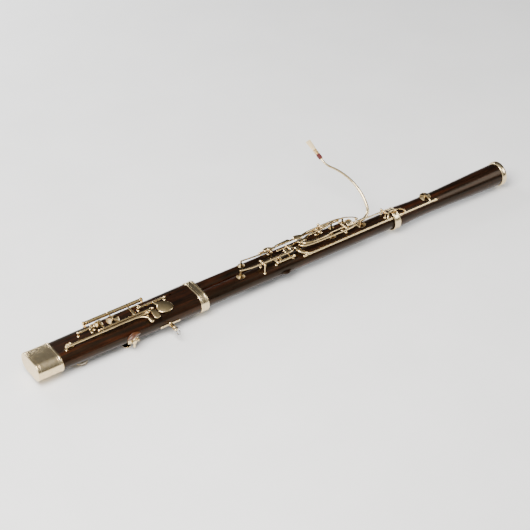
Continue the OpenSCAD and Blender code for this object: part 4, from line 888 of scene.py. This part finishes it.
def oval_piece(name, node, profile, material="fittings", loop=False, holes=()):
    """A piece of the boot's oval section, with (x from, x to, y, radius) holes along X."""
    piece = add(name, [oval_loft(profile, loop=loop)], "boot", material, replaces=(node,))
    cut(piece, [rod((x1, y, 0), (x2, y, 0), r, 64, 0.01) for x1, x2, y, r in holes])


MIDDLE_R = 0.4                        # where the end faces of an oval piece close
CAP_LEN = 62.0
CAP_R = boot_r(CAP_LEN) + 1.7
oval_piece("boot_cap_work", "boot_cap",
           [(MIDDLE_R, 0.0), (CAP_R - 2.6, 0.0)] + arc_points(CAP_R - 2.2, 2.2, 2.2, -90, 0)
           + groove(CAP_R, 7.0) + groove(CAP_R, 8.6) + groove(CAP_R, CAP_LEN - 9.0)
           + [(CAP_R, CAP_LEN - 6.2)] + bead(CAP_R, CAP_LEN - 3.6, 2.2, 0.75) + [(CAP_R, CAP_LEN - 0.9)]
           + arc_points(CAP_R - 0.5, CAP_LEN - 0.5, 0.5, 0, 90, 3)
           + [(CAP_R - 1.25, CAP_LEN), (CAP_R - 1.25, 1.6), (MIDDLE_R, 1.6)])

GASKET_X = (WOOD_X - 1.9, WOOD_X - 0.1)
GASKET_R = 17.0
U_BORE_R = 9.8
oval_piece("u_tube_gasket_cork", "u_tube_gasket",
           [(MIDDLE_R, GASKET_X[0]), (GASKET_R - 0.25, GASKET_X[0]), (GASKET_R, GASKET_X[0] + 0.25),
            (GASKET_R, GASKET_X[1] - 0.25), (GASKET_R - 0.25, GASKET_X[1]), (MIDDLE_R, GASKET_X[1])], "cork",
           holes=[(GASKET_X[0] - 5, GASKET_X[1] + 5, y, U_BORE_R) for y in (WING_Y, LONG_Y)])

BAND_R = 26.0
BAND_X = BOOT_LEN - 20.0
oval_piece("boot_band_work", "boot_band",
           [(MIDDLE_R, SHOULDER), (MIDDLE_R, BOOT_LEN + 0.06), (BAND_R - 1.35, BOOT_LEN + 0.06),
            (BAND_R - 1.35, BAND_X), (BAND_R - 0.3, BAND_X), (BAND_R, BAND_X + 0.4)]
           + bead(BAND_R, BAND_X + 2.8, 1.8, 0.6) + groove(BAND_R, BAND_X + 6.4)
           + groove(BAND_R, SHOULDER - 6.6) + bead(BAND_R, SHOULDER - 3.2, 1.8, 0.6)
           + arc_points(BAND_R - 0.6, SHOULDER - 0.6, 0.6, 0, 90, 4), loop=True,
           holes=[(BOOT_LEN - 5, SHOULDER + 5, y, r) for y, r in ((WING_Y, 12.5), (LONG_Y, 16.5))])


# ---- rings and bands of the upper joints
def turned_ring(name, body, node, profile, place, material="fittings", sides=112):
    """A ring turned about the joint's own axis; place is (x, y) and its profile is (radius, x from there)."""
    ring = loop_lathe(profile, (*place, 0), AXIS_X, sides)
    return add(name, [ring], body, material, replaces=(node,))


SOCKET_R = 6.5
SLEEVE_R = 15.5
turned_ring("wing_socket_band_work", "wing", "wing_socket_band",
            [(14.46, -16.98), (SLEEVE_R + 0.1, -16.98)] + bead(SLEEVE_R, -15.48, 1.1, 0.55)
            + groove(SLEEVE_R, -11.98) + groove(SLEEVE_R, -5) + bead(SLEEVE_R, -1.0, 1.1, 0.55)
            + arc_points(SLEEVE_R - 0.7, 0.5, 0.7, 0, 90, 5)
            + [(9.0, 1.2), (8.4, 1.5), (7.6, 1.5), (SOCKET_R + 0.3, 1.1), (SOCKET_R, 0.7), (SOCKET_R, 0.01),
               (14.46, 0.01)], (WING_TOP, WING_Y))

BELL_BAND_R = 27.0
turned_ring("bell_band_work", "bell", "bell_band",
            [(25.66, 0.1), (BELL_BAND_R - 0.2, 0.1)] + bead(BELL_BAND_R, 2.2, 1.5, 0.75)
            + groove(BELL_BAND_R, 5.2) + groove(BELL_BAND_R, 12.8) + bead(BELL_BAND_R, 15.8, 1.5, 0.75)
            + [(BELL_BAND_R - 0.1, 17.9), (25.66, 17.9)], (LONG_TOP, LONG_Y))

RING_R = 28.6
turned_ring("bell_ring_work", "bell", "bell_ring",
            [(RING_R - 1.55, -14.9)] + bead(RING_R + 1, -7.7, 7.0, 2.6, 32)
            + [(RING_R - 0.2, -0.35), (RING_R - 1.2, -0.05), (24.5, 0), (23.0, -0.25), (21.4, -0.25),
               (20.8, -0.6), (20.4, -1.2), (20.4, -1.9), (RING_R - 1.55, -1.9)], (BELL_TOP, LONG_Y))


# ---- tenon thread and bocal cork
def wound(x, r, pitch, depth, sides):
    """Radii round one ring of a helix of thread; its turns are pitch apart and sink by depth between them."""
    shares = np.arange(sides) / sides
    return r + depth * (abs(np.sin(math.pi * (x / pitch - shares))) ** 0.6 - 1)


def thread_wrap(x1, x2, r, y, sides=72):
    """Turns of thread laid side by side round a tenon, lower at both ends."""
    pitch = 0.85
    profile = []
    for x in np.linspace(x1, x2, int((x2 - x1) / pitch * 7) + 1):
        edge = min(1.0, (x - x1) / 1.2, (x2 - x) / 1.2)
        profile.append((wound(x, r - (1 - edge) * 0.5, pitch, 0.42, sides), x))
    return loop_lathe(profile + [(r - 1.0, x2), (r - 1.0, x1)], (0, y, 0), AXIS_X, sides)


add("wing_tenon_thread", [thread_wrap(407, 438, 12.45, WING_Y)], "wing", "thread",
    replaces=("wing_tenon_wrap",))
add("long_tenon_thread", [thread_wrap(404, 438, 16.45, LONG_Y),
                          thread_wrap(LONG_TOP + 3, LONG_TOP + 31, 19.85, LONG_Y)],
    "long", "thread", replaces=("long_tenon_wraps",))

BOCAL_START = WING_TOP - 27
turned_ring("bocal_cork_sleeve", "bocal_cork", "bocal_cork",
            [(4.65, 0.5), (5.6, 0.5), (6.2, 1.0), (6.38, 2.0), (6.42, 9), (6.30, 14), (6.40, 18),
             (6.44, 24.6), (6.2, 25.5), (5.7, 26), (4.65, 26)], (BOCAL_START, WING_Y), "cork", 72)


# ---- bocal
BENDS = [(0, 62), (75, 34), (60, 132), (-36, 46), (0, 12)]      # (turn in degrees, radius) or (0, length)
BOCAL_TURN = 35.0
BOCAL_R, BOCAL_TIP_R, BOCAL_WALL = 4.6, 2.4, 0.7
PLANE = Matrix.Translation((0, WING_Y, 0)) @ Matrix.Rotation(math.radians(BOCAL_TURN), 4, "X")


def bocal_line(spacing=3.0):
    """Points (x, y, heading) along the bocal in its own plane."""
    x, y, heading = BOCAL_START, 0.0, 0.0
    line = [(x, y, heading)]
    for turn, size in BENDS:
        length = size if turn == 0 else abs(math.radians(turn)) * size
        steps = max(2, round(length / spacing))
        d = math.radians(turn) / steps
        chord = length / steps if turn == 0 else 2 * size * math.sin(abs(d) / 2)
        for _ in range(steps):
            x += chord * math.cos(heading + d / 2)
            y += chord * math.sin(heading + d / 2)
            heading += d
            line.append((x, y, heading))
    return line


def in_plane(shell):
    """Moves a shell from the bocal's own plane to its place."""
    return moved(shell[0], PLANE), shell[1]


def bocal_tube(line, sides=40):
    """The tapering tube, outside and inside."""
    outer = np.linspace(BOCAL_R, BOCAL_TIP_R, len(line))
    verts = [(x - r * math.cos(t) * math.sin(h), y + r * math.cos(t) * math.cos(h), r * math.sin(t))
             for (x, y, h), r in zip(line + line[::-1], [*outer, *(outer[::-1] - BOCAL_WALL)])
             for t in turn_angles(sides)]
    return np.array(verts), ring_faces(2 * len(line), sides, True)


def collar(x):
    """A bead soldered round the bocal."""
    r = BOCAL_R - 0.35                # its foot lies in the tube
    profile = [(r, x)] + bead(r + 0.75, x + 0.8, 0.8, 0.45, 8) + [(r, x + 1.6)]
    return loop_lathe(profile, (0, 0, 0), AXIS_X, 56)


bocal = bocal_line()
rings = [in_plane(collar(WING_TOP + x)) for x in (5, 9)]
nib = [(0.5, 3.6), (4.0, 3.6), (3.7, 4.35), (3.0, 4.7), (2.3, 5.0), (1.9, 5.5), (1.65, 6.4), (1.5, 6.78),
       (0.9, 6.78), (0.5, 6.4)]
add("bocal_tube_work", [in_plane(bocal_tube(bocal)), *rings, loop_lathe(nib, (NIB_X, WING_Y, 0), UP, 40)],
    "bocal", "fittings", replaces=("bocal",))

# ---- reed
REED_ON = 8.0                         # how far the reed sits over the bocal's tip
REED_LEN, THROAT = 56.0, 22.0
tip_x, tip_y, tip_heading = bocal[-1]
ALONG = np.array((math.cos(tip_heading), math.sin(tip_heading), 0.0))
ACROSS = np.array((-math.sin(tip_heading), math.cos(tip_heading), 0.0))
REED_ORIGIN = np.array((tip_x, tip_y, 0.0)) - ALONG * REED_ON


def reed_point(u, v, s):
    """Points of the reed: u across the blades, v through them, s along."""
    return REED_ORIGIN + np.multiply.outer(u, ACROSS) + np.multiply.outer(v, UP) + ALONG * s


def smooth(a, b, t):
    t = min(1.0, max(0.0, (t - a) / (b - a)))
    return t * t * (3 - 2 * t)


def reed_section(s, inset=0.0):
    """Half width, half height and lens share of the reed's section at s."""
    throat = smooth(4.0, THROAT, s)
    fan = max(0.0, (s - THROAT) / (REED_LEN - THROAT))
    width = 3.9 + 0.95 * throat + 2.75 * fan ** 0.85 + 0.25 * math.sin(math.pi * fan)
    height = 3.9 - 0.8 * throat - 2.25 * (0.55 * fan + 0.45 * fan ** 0.55)
    return width - inset, max(height - inset, 0.12), smooth(THROAT - 4, THROAT + 14, s)


def reed_ring(s, inset, sides=64):
    """One ring of points round the reed at s, drawn in by inset."""
    width, height, lens = reed_section(s, inset)
    across, through = np.cos(turn_angles(sides)), np.sin(turn_angles(sides))
    flat = np.copysign(1 - abs(across) ** 2.2, through)
    return reed_point(width * across, height * ((1 - lens) * through + lens * flat), s)


def reed_blades(sides=64):
    """Both blades as one tube that flattens to the tip, with its bark scraped off towards the tip."""
    stations = [*np.linspace(0, THROAT, 12), *np.linspace(THROAT + 1.2, REED_LEN + 0.4, 34)]
    rings = [reed_ring(s, 0.0) for s in stations] + [reed_ring(REED_LEN + 0.55, 0.25)]
    rings += [reed_ring(s, 1.25 - 1.0 * smooth(10, REED_LEN, s)) for s in stations[::-1]]
    shell = np.concatenate(rings), ring_faces(len(rings), sides, True)
    reed = add("reed_blade_work", [in_plane(shell)], "reed", "cane", replaces=("reed_blades",))
    shares = [smooth(-0.4, 0.4, s - 28.5 - 1.5 * abs(math.cos(t)))
              for s in (*stations, REED_LEN + 0.55, *stations[::-1]) for t in turn_angles(sides)]
    reed.data.attributes.new("scraped", "FLOAT", "POINT").data.foreach_set("value", shares)


def turban(sides=64):
    """The thread wound over the reed's tube, on a rounded body."""
    profile = []
    for s in np.linspace(1.0, 15.0, 111):
        end = min(1.0, (s - 1.0) / 1.6, (15.0 - s) / 1.6)
        swelling = 0.55 * max(0.0, math.sin(math.pi * (s - 1) / 14)) ** 0.8
        r = 5.05 + swelling - 0.9 * (1 - math.sqrt(max(0.0, 1 - (1 - end) ** 2)))
        profile.append((wound(s, r, 0.95, 0.30, sides), s))
    return loop_lathe(profile + [(4.2, 15.0), (4.2, 1.0)], REED_ORIGIN, ALONG, sides)


def reed_wire(s, wire=0.42, sides=72):
    """A wire that goes twice round the reed, with its twisted ends."""
    width, height, _ = reed_section(s)
    reach = wire * 0.8
    angles = turn_angles(sides)
    loop_points = reed_point((width + reach) * np.cos(angles), (height + reach) * np.sin(angles), s)
    shells = []
    for points in (loop_points - ALONG * 0.42, loop_points + ALONG * 0.42):
        verts = []
        for k in range(sides):
            out = np.cross(unit(points[(k + 1) % sides] - points[k - 1]), ALONG)
            verts += [points[k] + wire * (math.cos(a) * out + math.sin(a) * ALONG) for a in turn_angles(10)]
        shells.append((np.array(verts), ring_faces(sides, 10, True)))
    foot = reed_point(0, height + wire, s)
    for start in (0.0, math.pi):
        twist = [(*(foot + 0.40 * (math.cos(a) * ALONG + math.sin(a) * ACROSS) + UP * 0.11 * i), 0.3, 0.3)
                 for i, a in enumerate(start + np.arange(25) * 0.75)]
        shells.append(sweep(twist, 1, 8, 2.0))
    return shells


reed_blades()
add("reed_binding_work", [in_plane(turban())], "reed", "thread", replaces=("reed_binding",))
add("reed_wire_work", [in_plane(shell) for s in (17.5, 21.0, 27.0) for shell in reed_wire(s)], "reed",
    "brass_wire", replaces=("reed_binding",))


# ---- strap hanger
def ring_section(radius, wire, power=1.0, high=None, sides=24):
    """The section of a ring turned about an axis; a power below 1 makes it squarer."""
    high = wire if high is None else high
    return [(radius + wire * math.cos(t), high * math.copysign(abs(math.sin(t)) ** power, math.sin(t)))
            for t in turn_angles(sides)]


def strap_hanger():
    """A plate on the boot's side, a fluted stem and an eye; the ring swings in the eye."""
    x, y, z = 335.0, LONG_Y - boot_r(333), -5.5
    eye_y = y - 23.5
    foot = (x, y - 0.6, z)
    shells = [block((x - 26, y - 2.4, -8), (x + 26, y + 1.6, -3), 0.9),
              lathe([(AXLE_R, 0.0), (5.4, 0.0), (5.4, 1.6), (4.9, 2.4), (3.4, 2.8), (3.4, 17.2), (3.9, 17.8),
                     (3.9, 18.6), (3.2, 19.6), (AXLE_R, 20.0)], foot, -AXIS_Y, 48),
              fluted(capped([(4.5, 2.5), (4.9, 2.9), (4.9, 16.6), (4.4, 17.3)]), foot, -AXIS_Y, 4.4, 12, 1.1),
              loop_lathe(ring_section(3.9, 1.5, 0.7, 2.6), (x, eye_y, z), UP, 56)]
    for side in (-20, 20):
        shells += slotted_head((x + side, y - 2.3, z), -AXIS_Y, 1.9, 0.8)
    add("strap_hanger_work", shells, "boot", "fittings", replaces=("strap_hanger",))
    ring = loop_lathe(ring_section(9, 1.5), (x, eye_y - 9, z), AXIS_X, 96)
    add("strap_ring_work", [ring], "strap_ring", "steel", replaces=("strap_ring",))


strap_hanger()


# ---- hand rest
def knurled(x1, x2, r, y, z):
    """A knurled knob turned along X."""
    profile = [(r - 0.8, x1), (r - 0.25, x1 + 0.35), (r, x1 + 0.7), (r, x2 - 0.7), (r - 0.25, x2 - 0.35),
               (r - 0.8, x2), (0.9, x2), (0.8, x2 - 0.3)]
    return fluted(capped(profile), (0, y, z), AXIS_X, r - 0.3, 22, 0.3)


def hand_rest():
    """A plate and a boss on the boot, a rod that slides in the boss, its screw, and the wooden crutch."""
    x, y, z = 237.0, LONG_Y - boot_r(237.0), -9.0
    rod_y = y - 5
    plate = [block((x - 13, y - 1.2, z - 6), (x + 13, y + 2.2, z + 6), 1.0)]
    for side in (-9.5, 9.5):
        plate += slotted_head((x + side, y - 1.1, z), -AXIS_Y, 1.9, 0.7)
    add("hand_rest_plate_work", plate, "boot", "fittings", replaces=("hand_rest_holder",))
    boss = lathe([(AXLE_R, 0), (6.2, 0), (6.2, 0.7), (5.6, 1.2), (5.6, 7.4), (5.1, 8.6), (3.8, 9.2),
                  (AXLE_R, 9.5)], (x, y - 0.1, z), -AXIS_Y, 56)
    boss_piece = add("hand_rest_boss_work", [boss], "boot", "fittings", replaces=("hand_rest_holder",))
    cut(boss_piece, [rod((x, rod_y, z - 12), (x, rod_y, z + 12), 2.68, 40),
                     rod((x, rod_y, z), (x + 9, rod_y, z), 1.56, 32)])
    add("hand_rest_knob_work", [knurled(x + 9.6, x + 13, 3.2, rod_y, z),
                                rod((x + 2.75, rod_y, z), (x + 10, rod_y, z), 1.5, 32)],
        "hand_rest_screw", "fittings", replaces=("hand_rest_screw",))
    add("hand_rest_rod_work", [rod((x, rod_y, z - 16), (x, rod_y, z + 20), 2.6, 40, 0.6)], "hand_rest",
        "fittings", replaces=("hand_rest",))
    crutch = [(220, y - 10.6, 8.0, 3.0, 2.4), (225, y - 10.0, 9.0, 5.2, 4.2), (231, y - 8.6, 10.4, 6.4, 5.0),
              (238, y - 6.8, 11.2, 6.4, 5.0), (245, y - 5.4, 10.6, 5.2, 4.0), (251, y - 4.8, 9.4, 3.4, 2.6)]
    add("hand_rest_crutch_wood", [sweep(crutch, 10, 40, 2.4)], "hand_rest", "brown_wood",
        replaces=("hand_rest",))


hand_rest()


# ---- wing joint and long joint
def seat_tools(names, bore_y):
    """What the pads' seats and tone holes take out of the wood; names gives each hole's share of its pad."""
    tools = []
    for name, hole in names.items():
        x, y, r, z, _ = closed_pad(name)
        z -= 0.05
        tools += [rod((x, y, z), (x, y, z + 16), r + CUP_WALL + 1.4, 72, 0.01),
                  rod((x, bore_y, 0), (x, y, z + 1), r * hole, 48, 0.01)]
    return tools


def swell(x, angle):
    """How far the wing joint swells out around its finger holes; 0 degrees is straight down."""
    share = smooth(543, 572, x) * (1 - smooth(690, 712, x))
    return 10.2 * share * np.exp(-abs((angle - math.radians(9)) / 0.60) ** 3.2)


def wing_shell(sides=128):
    """The wing joint with its bore, before its seats and holes are cut."""
    bore = [(405.0, 7.2), (WING_TOP - 28, 4.65), (WING_TOP - 28, SOCKET_R), (WING_TOP, SOCKET_R)]
    outer = [(405.0, 11.2), (405.4, 11.6), (SHOULDER - 0.01, 11.6), (SHOULDER, wing_r(SHOULDER) - 0.5),
             (SHOULDER + 0.5, wing_r(SHOULDER))]
    outer += [(x, wing_r(x)) for x in np.arange(SHOULDER + 4, WING_TOP - 17, 4.0)]
    outer += [(WING_TOP - 17, wing_r(WING_TOP - 17)), (WING_TOP - 16.99, 14.4), (WING_TOP, 14.4)]
    angles = turn_angles(sides)
    from_below = np.arctan2(np.cos(angles), -np.sin(angles))
    swollen = [(r + swell(x, from_below), x) for x, r in outer]
    return loop_lathe(swollen + [(r, x) for x, r in reversed(bore)], (0, WING_Y, 0), AXIS_X, sides)


wing = add("wing_wood", [wing_shell()], "wing", "rosewood", replaces=("wing_joint",))
MIDDLE_HOLE = 622                     # the outer two finger holes slant away from it
finger_holes = [rod((x + (x - MIDDLE_HOLE) * 0.35, WING_Y, 0), (x, WING_Y + 4, -30), 3, 40)
                for x in (MIDDLE_HOLE - 47, MIDDLE_HOLE, MIDDLE_HOLE + 47)]
wing_seats = seat_tools({"c_sharp": 0.45, "high_d": 0.4, "high_a": 0.35, "high_c": 0.35}, WING_Y)
cut(wing, wing_seats + finger_holes, 30)

long_profile = [(12.95, 402), (15.0, 402), (15.4, 402.4), (15.4, SHOULDER),
                (long_r(SHOULDER) - 0.5, SHOULDER), (long_r(SHOULDER), SHOULDER + 0.5)]
long_profile += [(long_r(x), x) for x in np.linspace(SHOULDER + 20, LONG_TOP - 20, 12)]
long_profile += [(22.0 - 0.03, LONG_TOP - 0.5), (21.5, LONG_TOP), (18.9, LONG_TOP), (18.9, LONG_TOP + 33.4),
                 (18.3, LONG_TOP + 34), (16.8, LONG_TOP + 34)]
long_wood = turned_ring("long_wood", "long", "long_joint", long_profile, (0, LONG_Y), "rosewood", 128)
cut(long_wood, seat_tools(dict.fromkeys(("low_c_sharp", "low_d", "low_c", "low_b"), 0.6), LONG_Y), 30)

# The block on the joint's edge: a low foot at each end of a hump
half_block = [(-22, 4.4, 2.4), (-16, 4.9, 2.7), (-11, 6.6, 2.9), (-6, 10.0, 3.1)]
other_half = [(-x, *size) for x, *size in reversed(half_block)]
block_line = [(662 + x, -35.5, -4, w, t) for x, w, t in half_block + [(0, 11.6, 3.2)] + other_half]
add("long_block_wood", [sweep(block_line, 8, 40, 3.0)], "long", "rosewood", replaces=("long_joint",))

# ---- floor, light and camera
low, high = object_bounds()
centre = (low + high) / 2
FLOOR_HALF = 60.0


def floor():
    mesh = bpy.data.meshes.new("floor")
    corners = [(centre.x + x * FLOOR_HALF, centre.y + y * FLOOR_HALF, low.z)
               for x, y in ((-1, -1), (1, -1), (1, 1), (-1, 1))]
    mesh.from_pydata(corners, [], [(0, 1, 2, 3)])
    material, nodes = node_material("floor")
    mottle = nodes.noise((3.0, 3.0, 3.0), 2.0, 4.0)
    paint = nodes.ramp(mottle, (0.3, (0.86, 0.86, 0.855)), (0.7, (0.90, 0.90, 0.895)))
    mesh.materials.append(finish(material, paint, 0.7))
    new_object("floor", mesh)


def look_back(obj, back):
    """Turns a light or camera to look against the vector back."""
    obj.rotation_euler = (-back).to_track_quat("-Z", "Y").to_euler()


def soft_light(name, place, size, power, colour=(1.0, 1.0, 1.0)):
    """A square area light that looks at the instrument's middle."""
    data = bpy.data.lights.new(name, "AREA")
    data.size = size
    data.energy = power
    data.color = colour
    lamp = new_object(name, data)
    lamp.location = centre + Vector(place)
    look_back(lamp, Vector(place))


def studio_world():
    """A sky that is bright on the key light's side and dark behind the instrument."""
    world = bpy.data.worlds.new("studio")
    world.use_nodes = True
    nodes = Nodes(world.node_tree)
    place = nodes.node("TexCoord").outputs["Generated"]
    bright_side = Vector((-0.55, -0.30, 0.78)).normalized()
    toward = nodes.node("VectorMath", {0: place, 1: bright_side}, operation="DOT_PRODUCT").outputs["Value"]
    tone = nodes.ramp(nodes.spread(toward, 0.0, 1.0), (0.10, (0.10, 0.10, 0.11)), (0.45, (0.30, 0.31, 0.33)),
                      (0.85, (1.0, 0.99, 0.97)))
    background = world.node_tree.nodes["Background"]
    nodes.feed(background.inputs["Color"], tone)
    background.inputs["Strength"].default_value = 0.9
    bpy.context.scene.world = world


floor()
soft_light("key_light", (-1.3, -0.7, 2.1), 1.5, 150, (1.0, 0.975, 0.94))
soft_light("rim_light", (-0.5, 2.3, 1.1), 1.0, 55, (0.96, 0.98, 1.0))
soft_light("fill_light", (1.9, -1.4, 1.3), 1.2, 28)
studio_world()

AZIMUTH, ELEVATION = math.radians(-35.0), math.radians(37.5)
LENS = 110.0
DISTANCE = 3.86
AIM_DROP = 0.083                      # centres the instrument and its bocal in the picture


def place_camera():
    back = Vector((math.sin(AZIMUTH) * math.cos(ELEVATION), -math.cos(AZIMUTH) * math.cos(ELEVATION),
                   math.sin(ELEVATION)))
    picture_up = Vector((-math.sin(AZIMUTH) * math.sin(ELEVATION), math.cos(AZIMUTH) * math.sin(ELEVATION),
                         math.cos(ELEVATION)))
    data = bpy.data.cameras.new("camera")
    data.lens = LENS
    camera = new_object("camera", data)
    camera.location = centre + back * DISTANCE - picture_up * AIM_DROP
    look_back(camera, back)
    bpy.context.scene.camera = camera


place_camera()
